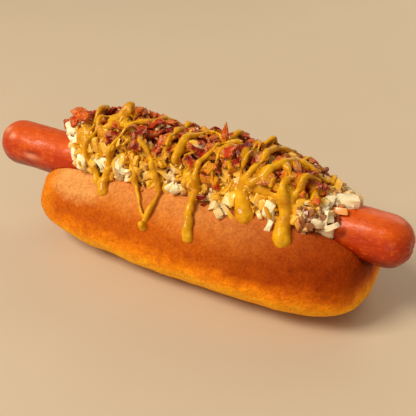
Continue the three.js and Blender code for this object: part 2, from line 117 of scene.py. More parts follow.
def smooth_run(places: Array, values: Array, x: Array) -> Array:
    """A smooth curve through values at rising places, held level past both ends.

    Args:
        places: the places of the values.
        values: the values to run through.
        x: where to read the curve.

    Returns:
        The curve's value at each x.
    """
    last = len(places) - 1
    before = np.maximum(np.arange(last + 1) - 1, 0)
    after = np.minimum(np.arange(last + 1) + 1, last)
    slopes = (values[after] - values[before]) / (places[after] - places[before])
    x = np.clip(x, places[0], places[-1])
    i = np.clip(np.searchsorted(places, x, side="right") - 1, 0, last - 1)
    step = places[i + 1] - places[i]
    t = (x - places[i]) / step
    rise = 3 * t**2 - 2 * t**3
    return (
        (1 - rise) * values[i]
        + (t**3 - 2 * t**2 + t) * slopes[i] * step
        + rise * values[i + 1]
        + (t**3 - t**2) * slopes[i + 1] * step
    )


@dataclass(frozen=True)
class Ripples:
    """Soft unevenness of one scale, in millimetres: waves that run in seeded directions, summed."""

    height: float
    wavelength: float
    seed: int
    count: int = 14

    def at(self, points: Array) -> Array:
        """The unevenness at places.

        Args:
            points: the places.

        Returns:
            A height at each.
        """
        stream = np.random.default_rng(self.seed)
        ways = stream.normal(size=(self.count, 3))
        ways /= np.linalg.norm(ways, axis=1)[:, None]
        lengths = self.wavelength * stream.uniform(0.65, 1.6, self.count)
        phases = stream.uniform(0.0, 2.0 * math.pi, self.count)
        waves = np.sin(points @ (2.0 * math.pi * ways / lengths[:, None]).T + phases)
        return self.height * waves.sum(axis=1) * math.sqrt(2.0 / self.count)


def uneven(points: Array, relief: tuple[Ripples, ...]) -> Array:
    """Unevenness of several scales, summed at each point."""
    return sum(ripples.at(points) for ripples in relief)


# ---- Meshes ----


def new_object(name: str, points: Array, faces: list, edges: list | None = None) -> Piece:
    """A mesh object at the origin.

    Args:
        name: its name.
        points: points.
        faces: faces as tuples of point indices, facing outwards.
        edges: loose edges as pairs of point indices.

    Returns:
        The object, smooth and in the scene.
    """
    mesh = bpy.data.meshes.new(name)
    mesh.from_pydata((np.asarray(points, float) * MM).tolist(), edges or [], faces)
    mesh.update()
    mesh.shade_smooth()
    made = bpy.data.objects.new(name, mesh)
    bpy.context.scene.collection.objects.link(made)
    return made


def lofted(name: str, rings: Array) -> Piece:
    """A closed skin through rings of points that advance along +X.

    Args:
        name: its name.
        rings: points, by ring and by place round it, turning from +Y to +Z.

    Returns:
        The object, with a fan round the middle of each end.
    """
    stations, sides, _ = rings.shape
    first, last = rings[0].mean(axis=0), rings[-1].mean(axis=0)
    points = np.concatenate([rings.reshape(-1, 3), first[None], last[None]])
    ends = stations * sides
    top = ends - sides
    around = [(i, (i + 1) % sides) for i in range(sides)]
    faces = [(k + i, k + j, k + j + sides, k + i + sides) for k in range(0, top, sides) for i, j in around]
    for i, j in around:
        faces += [(ends, j, i), (ends + 1, top + i, top + j)]
    return new_object(name, points, faces)


def sheet(name: str, grid: Array) -> Piece:
    """An open skin over a grid of points.

    Args:
        name: its name.
        grid: rows of points. It faces up where rows run along +X and follow each other towards +Y.

    Returns:
        The object.
    """
    rows, steps, _ = grid.shape
    faces = [
        (i * steps + j, i * steps + j + 1, (i + 1) * steps + j + 1, (i + 1) * steps + j)
        for i in range(rows - 1)
        for j in range(steps - 1)
    ]
    return new_object(name, grid.reshape(-1, 3), faces)


def clustered(name: str, blocks: list[tuple[Array, list]]) -> Piece:
    """Puts separate blocks into one mesh object.

    Args:
        name: its name.
        blocks: the points of each block, and its faces.

    Returns:
        The object.
    """
    points, faces = [], []
    count = 0
    for block, loops in blocks:
        points.append(block)
        faces.extend(tuple(i + count for i in loop) for loop in loops)
        count += len(block)
    return new_object(name, np.concatenate(points), faces)


def rows_of(items: bpy.types.bpy_prop_collection, key: str, width: int, kind: type = float) -> Array:
    """Reads one row of numbers for each item of a mesh.

    Args:
        items: its points, edges or values.
        key: what to read of each.
        width: how many numbers that is.
        kind: the kind of number.

    Returns:
        The rows.
    """
    flat = np.empty(width * len(items), dtype=kind)
    items.foreach_get(key, flat)
    return flat.reshape(-1, width)


def points_of(piece: Piece) -> Array:
    """The points of a mesh object, in millimetres."""
    return rows_of(piece.data.vertices, "co", 3) / MM


def normals_of(piece: Piece) -> Array:
    """The normals at the points of a mesh object."""
    return rows_of(piece.data.vertex_normals, "vector", 3)


def values_of(piece: Piece, name: str) -> Array:
    """The number that each point of a mesh object carries under a name."""
    return rows_of(piece.data.attributes[name].data, "value", 1)[:, 0]


def move_points(piece: Piece, points: Array) -> None:
    """Gives a mesh object new points, in millimetres."""
    piece.data.vertices.foreach_set("co", (points * MM).ravel())
    piece.data.update()


def raised(piece: Piece, heights: Array) -> None:
    """Moves each point of a mesh object out along its normal, by heights in millimetres."""
    move_points(piece, points_of(piece) + heights[:, None] * normals_of(piece))


def write_values(piece: Piece, name: str, values: Array) -> None:
    """Stores a number or a vector at each point of a mesh object.

    Args:
        piece: the object.
        name: the name under which they are read.
        values: one number or one row for each point.
    """
    values = np.asarray(values, float)
    kind, key = ("FLOAT", "value") if values.ndim == 1 else ("FLOAT_VECTOR", "vector")
    attribute = piece.data.attributes.get(name) or piece.data.attributes.new(name, kind, "POINT")
    attribute.data.foreach_set(key, values.ravel())


def search_tree(piece: Piece) -> BVHTree:
    """The surface of an object, ready to be searched. Lengths in it are metres."""
    return BVHTree.FromObject(piece, bpy.context.evaluated_depsgraph_get())


def baked(piece: Piece) -> None:
    """Turns an object's modifiers into plain mesh and removes them.

    Args:
        piece: the object.
    """
    graph = bpy.context.evaluated_depsgraph_get()
    shaped = piece.evaluated_get(graph)
    mesh = bpy.data.meshes.new_from_object(shaped, preserve_all_data_layers=True, depsgraph=graph)
    piece.modifiers.clear()
    worn = piece.data
    piece.data = mesh
    bpy.data.meshes.remove(worn)
    mesh.name = piece.name


def remeshed(piece: Piece, voxel: float, rounds: int) -> None:
    """Melts an object's overlapping parts into one even skin.

    Args:
        piece: the object.
        voxel: size of the new faces.
        rounds: how often each point then goes halfway to the mean of its neighbours.
    """
    remesh = piece.modifiers.new("melt", "REMESH")
    remesh.mode = "VOXEL"
    remesh.voxel_size = voxel * MM
    baked(piece)
    points = points_of(piece)
    size = len(points)
    edges = rows_of(piece.data.edges, "vertices", 2, np.int32)
    a, b = edges.T
    neighbours = np.maximum(1, np.bincount(edges.ravel(), minlength=size))[:, None]
    for _ in range(rounds):
        sums = [np.bincount(a, points[b, i], size) + np.bincount(b, points[a, i], size) for i in range(3)]
        points += 0.5 * (np.stack(sums, axis=1) / neighbours - points)
    move_points(piece, points)
    piece.data.shade_smooth()


def joined(name: str, pieces: list[Piece]) -> Piece:
    """Joins mesh objects into one.

    Args:
        name: the name of the whole.
        pieces: the objects, which are used up.

    Returns:
        The joined object.
    """
    whole = pieces[0]
    with bpy.context.temp_override(active_object=whole, selected_editable_objects=pieces):
        bpy.ops.object.join()
    whole.name = name
    whole.data.name = name
    return whole


def coated(piece: Piece, material: Material) -> Piece:
    """Gives every face of an object one material.

    Args:
        piece: the object.
        material: the material.

    Returns:
        The object.
    """
    mesh = piece.data
    mesh.materials.clear()
    mesh.materials.append(material)
    mesh.polygons.foreach_set("material_index", np.zeros(len(mesh.polygons), dtype=np.int32))
    return piece


def removed(piece: Piece) -> None:
    """Takes a helper object out of the file, which goes with its mesh."""
    bpy.data.meshes.remove(piece.data)


# ---- Node trees ----


class Sketch:
    """A node tree that is being drawn. Its inputs take plain values or other nodes' sockets."""

    def __init__(self, tree: Tree) -> None:
        """Starts on an empty tree."""
        self.tree = tree
        tree.nodes.clear()

    def add(self, kind: str, inputs: dict | None = None, **settings: object) -> bpy.types.Node:
        """Adds a node.

        Args:
            kind: the node's type.
            inputs: values or sockets for its inputs, by name or index.
            **settings: its own properties.

        Returns:
            The node.
        """
        node = self.tree.nodes.new(kind)
        for name, value in settings.items():
            setattr(node, name, value)
        for key, value in (inputs or {}).items():
            if isinstance(value, Socket):
                self.tree.links.new(value, node.inputs[key])
            else:
                node.inputs[key].default_value = value
        return node

    def maths(self, operation: str, first: object, second: object, clamp: bool = False) -> Socket:
        """The result of a Math node on two numbers."""
        fed = {0: first, 1: second}
        return self.add("ShaderNodeMath", fed, operation=operation, use_clamp=clamp).outputs[0]

    def plus(self, first: object, second: object, clamp: bool = False) -> Socket:
        """Two numbers added, and kept from 0 to 1 where clamp says."""
        return self.maths("ADD", first, second, clamp)

    def minus(self, first: object, second: object) -> Socket:
        """The second number taken from the first."""
        return self.maths("SUBTRACT", first, second)

    def times(self, first: object, second: object) -> Socket:
        """Two numbers multiplied."""
        return self.maths("MULTIPLY", first, second)

    def divided(self, first: object, second: object) -> Socket:
        """The first number divided by the second."""
        return self.maths("DIVIDE", first, second)

    def vector_maths(self, operation: str, first: object, second: object) -> Socket:
        """The result of a Vector Math node on two vectors."""
        return self.add("ShaderNodeVectorMath", {0: first, 1: second}, operation=operation).outputs[0]

    def stretched(self, vector: object, stretch: object) -> Socket:
        """A vector made longer, along each axis on its own or by one number."""
        return self.vector_maths("MULTIPLY", vector, stretch)


def opaque(colour: object) -> object:
    """A colour with full opacity, as sockets take it. A socket stays as it is."""
    return (*colour, 1.0) if isinstance(colour, tuple) else colour


class Blend(Enum):
    """How a second colour is mixed in: it covers the first or tints it."""

    COVER = "MIX"
    TINT = "MULTIPLY"


class Paint(Sketch):
    """A shader tree, with short ways to draw patterns. Lengths in it are millimetres."""

    def place(self) -> Socket:
        """Where a shaded point lies on its object, in millimetres."""
        return self.stretched(self.add("ShaderNodeTexCoord").outputs["Object"], (1.0 / MM,) * 3)

    def value(self, name: str) -> Socket:
        """A number that the mesh carries."""
        return self.add("ShaderNodeAttribute", attribute_name=name).outputs["Fac"]

    def vector(self, name: str) -> Socket:
        """A vector that the mesh carries."""
        return self.add("ShaderNodeAttribute", attribute_name=name).outputs["Vector"]

    def noise(self, place: object, size: object, detail: float = 2.0, roughness: float = 0.5) -> Socket:
        """Noise round 0.5 with lumps of a size in millimetres, and finer ones by detail and roughness."""
        scale = self.divided(1.0, size) if isinstance(size, Socket) else 1.0 / size
        fed = {"Vector": place, "Scale": scale, "Detail": detail, "Roughness": roughness}
        return self.add("ShaderNodeTexNoise", fed).outputs["Fac"]

    def rise(self, value: object, start: object, end: object) -> Socket:
        """A smooth rise from 0 at start to 1 at end."""
        fed = {"Value": value, 1: start, 2: end, 3: 0.0, 4: 1.0}
        return self.add("ShaderNodeMapRange", fed, interpolation_type="SMOOTHSTEP").outputs[0]

    def spread(self, value: object, low: float, high: float) -> Socket:
        """A value from 0 to 1 spread between two numbers."""
        return self.add("ShaderNodeMapRange", {"Value": value, 3: low, 4: high}).outputs[0]

    def mix(self, share: object, first: object, second: object, blend: Blend = Blend.COVER) -> Socket:
        """Two colours mixed, with as much of the second as share says."""
        fed = {0: share, 6: opaque(first), 7: opaque(second)}
        return self.add("ShaderNodeMix", fed, data_type="RGBA", blend_type=blend.value).outputs[2]

    def over(self, colour: object, share: float, mask: object, other: Colour) -> Socket:
        """A colour with a share of another over it where a mask shows."""
        return self.mix(self.times(mask, share), colour, other)

    def ramp(self, value: object, stops: tuple[tuple[float, Colour], ...], full: float = 1.0) -> Socket:
        """A colour that changes with a value.

        Args:
            value: the value, as a share of full.
            stops: the colour at each of some values.
            full: what the stops' values are shares of.

        Returns:
            The colour.
        """
        node = self.add("ShaderNodeValToRGB", {0: value})
        elements = node.color_ramp.elements
        while len(elements) < len(stops):
            elements.new(1.0)
        for element, (place, colour) in zip(elements, stops):
            element.position = place / full
            element.color = opaque(colour)
        return node.outputs[0]

    def bump(self, height: object, depth: float, coarse: Socket | None = None) -> Socket:
        """A normal with relief from 0 to 1, as deep as depth in millimetres, built on a coarser normal."""
        below = {"Normal": coarse} if coarse else {}
        return self.add("ShaderNodeBump", {"Height": height, "Distance": depth * MM, **below}).outputs[0]


class SocketKind(Enum):
    """The kinds of socket that the groups have."""

    NUMBER = "NodeSocketFloat"
    VECTOR = "NodeSocketVector"
    WHOLE = "NodeSocketInt"
    GEOMETRY = "NodeSocketGeometry"
    COLLECTION = "NodeSocketCollection"
    MATERIAL = "NodeSocketMaterial"


Sockets = dict[str, SocketKind]


class GroupKind(Enum):
    """The kinds of node group."""

    SHADER = "ShaderNodeTree"
    GEOMETRY = "GeometryNodeTree"


def new_group(name: str, kind: GroupKind, inputs: Sockets, outputs: Sockets) -> Tree:
    """An empty node group with its sockets.

    Args:
        name: the group's name.
        kind: what it is a group of.
        inputs: the kind of each input, by name.
        outputs: the kind of each output, by name.

    Returns:
        The group.
    """
    group = bpy.data.node_groups.new(name, kind.value)
    for way, sockets in (("INPUT", inputs), ("OUTPUT", outputs)):
        for title, socket in sockets.items():
            group.interface.new_socket(title, in_out=way, socket_type=socket.value)
    return group


def mottled(paint: Paint, place: Socket, size: Socket, contrast: Socket) -> Socket:
    """Draws cloudy patches in two scales.

    Args:
        paint: the tree.
        place: where they are read.
        size: the size of the broad ones.
        contrast: how far they go to 0 and 1.

    Returns:
        The patches, from 0 to 1.
    """
    broad = paint.noise(place, size, 3.0)
    fine = paint.noise(place, paint.divided(size, 3.0))
    both = paint.plus(paint.times(broad, 0.65), paint.times(fine, 0.35))
    return paint.plus(paint.times(paint.minus(both, 0.5), contrast), 0.5, clamp=True)


def pitted(paint: Paint, place: Socket, size: Socket, share: Socket) -> Socket:
    """Draws small pits of uneven size.

    Args:
        paint: the tree.
        place: where they are read.
        size: how far apart they lie.
        share: how much of the surface they take.

    Returns:
        The height, 0 in the middle of a pit and 1 outside.
    """
    scale = paint.divided(1.0, size)
    warp = paint.add("ShaderNodeTexNoise", {"Vector": place, "Scale": scale}).outputs["Color"]
    moved = paint.vector_maths("ADD", place, paint.stretched(warp, (0.6,) * 3))
    cells = paint.add("ShaderNodeTexVoronoi", {"Vector": moved, "Scale": scale})
    return paint.rise(cells.outputs["Distance"], 0.0, paint.times(share, 0.9))


def streaked(paint: Paint, place: Socket, length: Socket, width: Socket) -> Socket:
    """Draws long thin streaks along X.

    Args:
        paint: the tree.
        place: where they are read.
        length: their length.
        width: their width.

    Returns:
        The streaks, from 0 to 1.
    """
    along, across = (paint.divided(1.0, size) for size in (length, width))
    stretch = paint.add("ShaderNodeCombineXYZ", {0: along, 1: across, 2: across}).outputs[0]
    return paint.rise(paint.noise(paint.stretched(place, stretch), 1.0), 0.35, 0.65)


def smeared(paint: Paint, place: Socket, closeness: Socket, reach: Socket) -> Socket:
    """Draws mustard that has run thin.

    Args:
        paint: the tree.
        place: where it is read.
        closeness: how close the mustard is, from 0 to 1.
        reach: how far it has run.

    Returns:
        How much of it lies there, from 0 to 1.
    """
    patchy = paint.minus(paint.noise(place, 3.2, 3.0), 0.5)
    near = paint.plus(closeness, paint.times(patchy, 1.1))
    start = paint.minus(1.0, reach)
    return paint.rise(near, start, paint.plus(start, 0.35))


class Effect(Enum):
    """The effects that finishes share, each with what draws it and the names of its numbers."""

    MOTTLE = (mottled, "Size", "Contrast")
    PORES = (pitted, "Size", "Share")
    STREAKS = (streaked, "Length", "Width")
    SMEAR = (smeared, "Closeness", "Reach")

    def on(self, paint: Paint, place: Socket, **numbers: object) -> Socket:
        """Places the effect's shader group, which is built when it is first asked for.

        Args:
            paint: the tree.
            place: where the effect is read.
            **numbers: its numbers.

        Returns:
            The mask, from 0 to 1.
        """
        title = self.name.lower()
        if title not in bpy.data.node_groups:
            draw, *names = self.value
            inputs = {"Place": SocketKind.VECTOR, **dict.fromkeys(names, SocketKind.NUMBER)}
            inner = Paint(new_group(title, GroupKind.SHADER, inputs, {"Mask": SocketKind.NUMBER}))
            given = inner.add("NodeGroupInput").outputs
            inner.add("NodeGroupOutput", {0: draw(inner, *(given[name] for name in inputs))})
        fed = {"Place": place, **numbers}
        return paint.add("ShaderNodeGroup", fed, node_tree=bpy.data.node_groups[title]).outputs[0]


# ---- Finishes ----


@dataclass(frozen=True)
class Gloss:
    """How a surface shines: values that are the same all over it. The depth is in millimetres."""

    specular: float = 0.5
    tint: Colour = (1.0, 1.0, 1.0)
    coat_roughness: float = 0.2
    coat: float = 0.0
    under: float = 0.0
    under_depth: float = 1.0
    under_colour: Colour = (1.0, 0.4, 0.2)

    def surface(self, paint: Paint, colour: Socket, roughness: Socket, normal: Socket) -> None:
        """Ends a shader tree in its surface.

        Args:
            paint: the tree.
            colour: the base colour.
            roughness: the roughness.
            normal: the normal with its relief.
        """
        fed = {
            "Base Color": colour, "Roughness": roughness, "Normal": normal,
            "Specular IOR Level": self.specular, "Specular Tint": opaque(self.tint),
            "Coat Weight": self.coat, "Coat Roughness": self.coat_roughness,
            "Subsurface Weight": self.under, "Subsurface Radius": self.under_colour,
            "Subsurface Scale": self.under_depth * MM,
        }
        shader = paint.add("ShaderNodeBsdfPrincipled", fed)
        paint.add("ShaderNodeOutputMaterial", {"Surface": shader.outputs[0]})


# A look is a colour, a roughness and a normal.
Look = tuple[Socket, Socket, Socket]


@dataclass(frozen=True)
class Finish:
    """What every finish has: a name, a gloss, and a look that its own class draws."""

    name: str
    gloss: Gloss

    def look(self, paint: Paint, place: Socket) -> Look:
        """Draws the look at a place, in millimetres."""
        raise NotImplementedError

    def material(self) -> Material:
        """Makes the finish a material.

        Returns:
            The material.
        """
        material = bpy.data.materials.new(self.name)
        material.use_nodes = True
        paint = Paint(material.node_tree)
        self.gloss.surface(paint, *self.look(paint, paint.place()))
        return material


@dataclass(frozen=True)
class CrustFinish(Finish):
    """Baked bread: golden foot, brown flank, paler shoulder, and cream crumb in the cut.

    Its colours go by height in millimetres, partly the bake and partly painted light: the bright golden foot
    is painted bounce light and the dark mid flank is painted shade. From left to right they turn to a second
    ramp, partly a browner bake and partly painted shade on the side away from the key light. Blotches and
    speckles give where a pattern starts to tint the crust, where it does so in full, and the tint.
    """

    name: str = "baked_crust"
    gloss: Gloss = Gloss(specular=0.1, tint=(1.0, 0.6, 0.3))
    top: float = 50.0
    # The left ramp by height: the bake's colours, with the bright foot as painted bounce light and the dark
    # mid flank as painted shade.
    browned: tuple[tuple[float, Colour], ...] = (
        (13, (0.98, 0.43, 0.01)), (16, (0.95, 0.3, 0.006)),
        (20, (0.78, 0.19, 0.003)), (25, (0.52, 0.095, 0.003)),
        (31, (0.5, 0.095, 0.004)), (35.5, (0.6, 0.16, 0.018)),
        (40, (0.64, 0.22, 0.046)), (46, (0.7, 0.26, 0.065)),
    )
    # The right ramp: a browner bake, and painted shade on the side away from the key light.
    darker: tuple[tuple[float, Colour], ...] = (
        (13, (0.98, 0.4, 0.008)), (16, (0.96, 0.31, 0.005)),
        (20, (0.66, 0.13, 0.003)), (25, (0.34, 0.042, 0.001)),
        (31, (0.26, 0.027, 0.001)), (36, (0.32, 0.038, 0.002)),
        (40, (0.36, 0.048, 0.004)), (46, (0.46, 0.09, 0.016)),
    )
    darkening: Span = (2, 82)
    gold: Colour = (0.74, 0.21, 0.004)
    gold_end: Span = (-55, -67)
    pale: Colour = (0.74, 0.34, 0.1)
    pale_middle: Triple = (-49, -22, 38.5)
    pale_reach: Triple = (21, 14, 8)
    blotches: tuple[tuple[float, float, Colour], ...] = (
        (0.45, 1, (0.88, 0.79, 0.7)), (0.45, 0, (1.08, 1.13, 1.12)),
    )
    speckles: tuple[tuple[float, float, Colour], ...] = (
        (0.5, 0.72, (0.72, 0.6, 0.5)), (0.5, 0.28, (1.26, 1.42, 1.5)),
    )
    crumb: Colour = (0.9, 0.74, 0.46)
    crumb_shade: Colour = (0.62, 0.4, 0.15)

    def look(self, paint: Paint, place: Socket) -> Look:
        """The crust, with the crumb where the mesh's crumb value says.

        Args:
            paint: the tree.
            place: the shaded point.

        Returns:
            Its look.
        """
        x, _, z = paint.add("ShaderNodeSeparateXYZ", {0: place}).outputs
        cloud = Effect.MOTTLE.on(paint, place, Size=13.0, Contrast=1.7)
        drift = paint.times(paint.minus(cloud, 0.5), 7.0)
        level = paint.divided(paint.plus(z, drift), self.top)
        # Painted light and shade by height, with more painted shade towards the right end.
        left, right = (paint.ramp(level, stops, self.top) for stops in (self.browned, self.darker))
        crust = paint.mix(paint.rise(paint.plus(x, drift), *self.darkening), left, right)
        crust = paint.over(crust, 0.85, paint.rise(x, *self.gold_end), self.gold)
        crust = paint.over(crust, 0.8, self.patch(paint, place), self.pale)
        blotch = Effect.MOTTLE.on(paint, place, Size=4.5, Contrast=3.2)
        speckle = paint.noise(place, 1.2, 4.0, 0.75)
        for pattern, tints in ((blotch, self.blotches), (speckle, self.speckles)):
            for start, full, tint in tints:
                crust = paint.mix(paint.rise(pattern, start, full), crust, tint, Blend.TINT)
        pits = Effect.PORES.on(paint, place, Size=1.9, Share=0.5)
        # The crumb is painted darker in its pits, as painted shade.
        inside = paint.mix(paint.spread(pits, 0.35, 0.0), self.crumb, self.crumb_shade)
        crumb = paint.value("crumb")
        dimples = Effect.MOTTLE.on(paint, place, Size=4.0, Contrast=1.6)
        grain = paint.add("ShaderNodeMix", {0: crumb, 2: speckle, 3: pits}).outputs[0]
        normal = paint.bump(grain, 0.55, paint.bump(dimples, 0.3))
        return paint.mix(crumb, crust, inside), paint.spread(cloud, 0.5, 0.64), normal

    def patch(self, paint: Paint, place: Socket) -> Socket:
        """A pale mottled patch, hardly browned, under the near lip at the left end.

        Args:
            paint: the tree.
            place: the shaded point.

        Returns:
            How much of the patch shows there, from 0 to 1.
        """
        away = paint.vector_maths("SUBTRACT", place, self.pale_middle)
        fitted = paint.stretched(away, tuple(1.0 / reach for reach in self.pale_reach))
        distance = paint.add("ShaderNodeVectorMath", {0: fitted}, operation="LENGTH").outputs["Value"]
        broken = Effect.MOTTLE.on(paint, place, Size=5.0, Contrast=2.4)
        return paint.rise(paint.plus(distance, paint.times(broken, 0.5)), 1.45, 0.65)


@dataclass(frozen=True)
class SkinFinish(Finish):
    """Moist frankfurter skin: orange red, painted shade darkening it below, with a soft broad shine."""

    name: str = "frankfurter_skin"
    gloss: Gloss = Gloss(specular=0.34, tint=(1.0, 0.54, 0.36), coat=0.2, coat_roughness=0.13)
    # The skin is painted by height, lighter on top and darkest below, as painted light and shade.
    lowest: float = 26.5
    thickness: float = 23.0
    top: Colour = (0.58, 0.068, 0.001)
    side: Colour = (0.42, 0.028, 0.001)
    below: Colour = (0.15, 0.004, 0.001)
    fleck: Colour = (0.26, 0.012, 0.001)
    blush: Colour = (0.8, 0.165, 0.016)
    crease: Colour = (0.16, 0.01, 0.004)
    # The pale colour of the bumps. The two bumps at the left tip stand in for a highlight, so there it is a
    # painted highlight.
    bump: Colour = (0.85, 0.36, 0.2)

    def look(self, paint: Paint, place: Socket) -> Look:
        """The skin, with painted shade in creases and pale bumps, some a painted highlight, by the mesh's
        values.

        Args:
            paint: the tree.
            place: the shaded point.

        Returns:
            Its look.
        """
        z = paint.add("ShaderNodeSeparateXYZ", {0: place}).outputs[2]
        cloud = Effect.MOTTLE.on(paint, place, Size=9.0, Contrast=1.8)
        drift = paint.times(paint.minus(cloud, 0.5), 5.0)
        level = paint.divided(paint.minus(paint.plus(z, drift), self.lowest), self.thickness)
        # Painted light and shade by height: lit top, middle side, shaded underside.
        skin = paint.ramp(level, ((0.12, self.below), (0.46, self.side), (0.64, self.side), (0.84, self.top)))
        flecks = paint.noise(paint.stretched(place, (0.45, 1.0, 1.0)), 1.6, 4.0, 0.75)
        skin = paint.over(skin, 0.7, paint.rise(flecks, 0.52, 0.76), self.fleck)
        skin = paint.over(skin, 0.6, paint.rise(flecks, 0.48, 0.26), self.blush)
        skin = paint.over(skin, 0.35, paint.rise(cloud, 0.5, 0.95), self.blush)
        # Creases are painted dark, as painted shade in them.
        skin = paint.over(skin, 0.75, paint.value("crease"), self.crease)
        # Pale bumps: partly the bumps' own colour, and at the left tip a painted highlight.
        skin = paint.over(skin, 0.6, paint.value("pale"), self.bump)
        normal = paint.bump(flecks, 0.36, paint.bump(cloud, 0.25))
        return skin, paint.spread(flecks, 0.24, 0.44), normal


# The larger onion pieces have tones up to 1, and the mince has tones up to this.
MINCE_TONE = 1.3


@dataclass(frozen=True)
class OnionFinish(Finish):
    """Chopped raw onion: white to cream, a little see-through, stained by the mustard, painted shade in gaps.
    """

    name: str = "chopped_onion"
    gloss: Gloss = Gloss(
        specular=0.3, tint=(1.0, 0.78, 0.5), coat=0.26, coat_roughness=0.12,
        under=0.3, under_depth=1.4, under_colour=(1.0, 0.65, 0.28),
    )
    white: Colour = (0.98, 0.92, 0.62)
    cream: Colour = (0.95, 0.72, 0.36)
    straw: Colour = (0.88, 0.5, 0.13)
    tan: Colour = (0.55, 0.1, 0.02)
    vein: Colour = (0.82, 0.68, 0.42)
    juice: Colour = (0.5, 0.12, 0.008)
    mush: Colour = (0.3, 0.026, 0.003)
    stain: Colour = (0.88, 0.44, 0.004)

    def look(self, paint: Paint, place: Socket) -> Look:
        """The onion, by each piece's own tone.

        Args:
            paint: the tree.
            place: the shaded point.

        Returns:
            Its look.
        """
        tone = paint.value("tone")
        stops = (
            (0.0, self.white), (0.27, self.white), (0.5, self.cream), (0.77, self.straw), (0.88, self.tan)
        )
        flesh = paint.ramp(paint.divided(tone, MINCE_TONE), stops)
        lines = Effect.STREAKS.on(paint, paint.vector("grain"), Length=7.0, Width=0.55)
        patchy = Effect.MOTTLE.on(paint, place, Size=4.0, Contrast=1.8)
        flesh = paint.over(flesh, 0.3, lines, self.vein)
        flesh = paint.over(flesh, 0.25, patchy, self.cream)
        # Painted shade: a warm dark colour where a point lies deep in the heap's gaps, and towards the right
        # end.
        flesh = paint.over(flesh, 0.85, paint.value("deep"), self.juice)
        # Dark mush under the bacon, and painted shade on the core low on the near side at the right end.
        flesh = paint.mix(paint.value("under_bacon"), flesh, self.mush)
        smear = Effect.SMEAR.on(paint, place, Closeness=paint.value("stain"), Reach=0.6)
        taken = paint.times(paint.rise(tone, 0.0, 0.03), 0.9)
        colour = paint.mix(paint.times(smear, taken), flesh, self.stain)
        return colour, paint.spread(patchy, 0.22, 0.4), paint.bump(lines, 0.1, paint.bump(patchy, 0.3))


@dataclass(frozen=True)
class BaconFinish(Finish):
    """Fried crumbled bacon: dark red lean, orange where it is thin, pink streaks of fat."""

    name: str = "fried_bacon"
    gloss: Gloss = Gloss(specular=0.28, tint=(1.0, 0.38, 0.22), coat=0.08, coat_roughness=0.18)
    burnt: Colour = (0.16, 0.004, 0.002)
    lean: Colour = (0.5, 0.02, 0.005)
    rust: Colour = (0.76, 0.084, 0.012)
    orange: Colour = (0.95, 0.22, 0.022)
    fat: Colour = (0.94, 0.42, 0.2)
    stain: Colour = (0.86, 0.4, 0.005)

    def look(self, paint: Paint, place: Socket) -> Look:
        """The bacon, by each crumb's own tone.

        Args:
            paint: the tree.
            place: the shaded point.

        Returns:
            Its look.
        """
        grain = paint.vector("grain")
        cloud = Effect.MOTTLE.on(paint, place, Size=3.0, Contrast=3.0)
        varied = paint.times(paint.minus(cloud, 0.42), 0.55)
        tone = paint.plus(paint.times(paint.value("tone"), 0.8), varied, clamp=True)
        stops = (
            (0.06, self.burnt), (0.26, self.lean), (0.48, self.rust), (0.74, self.orange), (1.0, self.fat)
        )
        layers = Effect.STREAKS.on(paint, grain, Length=14.0, Width=1.5)
        fibres = Effect.STREAKS.on(paint, grain, Length=3.0, Width=0.4)
        meat = paint.over(paint.ramp(tone, stops), 0.5, paint.rise(layers, 0.55, 0.85), self.fat)
        meat = paint.over(meat, 0.3, fibres, self.burnt)
        smear = Effect.SMEAR.on(paint, place, Closeness=paint.value("stain"), Reach=0.3)
        meat = paint.over(meat, 0.75, smear, self.stain)
        pits = Effect.PORES.on(paint, place, Size=0.9, Share=0.8)
        return meat, paint.spread(cloud, 0.24, 0.42), paint.bump(pits, 0.34, paint.bump(fibres, 0.24))


@dataclass(frozen=True)
class MustardFinish(Finish):
    """Smooth yellow mustard, golden, a little deeper in colour in patches, with fine dark grains."""

    name: str = "yellow_mustard"
    gloss: Gloss = Gloss(
        specular=0.12, coat=0.3, coat_roughness=0.1,
        under=0.1, under_depth=1.0, under_colour=(1.0, 0.6, 0.1),
    )
    bright: Colour = (0.8, 0.425, 0.004)
    deep: Colour = (0.5, 0.18, 0.001)
    seed: Colour = (0.62, 0.23, 0.002)

    def look(self, paint: Paint, place: Socket) -> Look:
        """The mustard.

        Args:
            paint: the tree.
            place: the shaded point.

        Returns:
            Its look.
        """
        cloud = Effect.MOTTLE.on(paint, place, Size=7.0, Contrast=2.6)
        grain = paint.noise(place, 0.6, 3.0)
        colour = paint.mix(paint.rise(grain, 0.56, 0.74), paint.mix(cloud, self.bright, self.deep), self.seed)
        return colour, paint.spread(grain, 0.26, 0.36), paint.bump(grain, 0.06, paint.bump(cloud, 0.2))


@dataclass(frozen=True)
class RelishFinish(Finish):
    """Chopped pickle and carrot: olive to orange, moist."""

    name: str = "chopped_relish"
    gloss: Gloss = Gloss(
        specular=0.5, coat=0.5, coat_roughness=0.15, under=0.2, under_depth=1.2, under_colour=(1.0, 0.7, 0.2)
    )
    olive: Colour = (0.46, 0.18, 0.036)
    moss: Colour = (0.24, 0.06, 0.02)
    carrot: Colour = (0.85, 0.3, 0.05)
    carrot_vein: Colour = (0.95, 0.48, 0.14)

    def look(self, paint: Paint, place: Socket) -> Look:
        """The relish, olive at tone 0 and carrot at tone 1.

        Args:
            paint: the tree.
            place: the shaded point.

        Returns:
            Its look.
        """
        cloud = Effect.MOTTLE.on(paint, place, Size=2.5, Contrast=2.0)
        lines = Effect.STREAKS.on(paint, paint.vector("grain"), Length=6.0, Width=0.7)
        green = paint.mix(cloud, self.moss, self.olive)
        orange = paint.over(self.carrot, 0.35, lines, self.carrot_vein)
        colour = paint.mix(paint.rise(paint.value("tone"), 0.4, 0.6), green, orange)
        return colour, paint.spread(cloud, 0.25, 0.42), paint.bump(lines, 0.15)


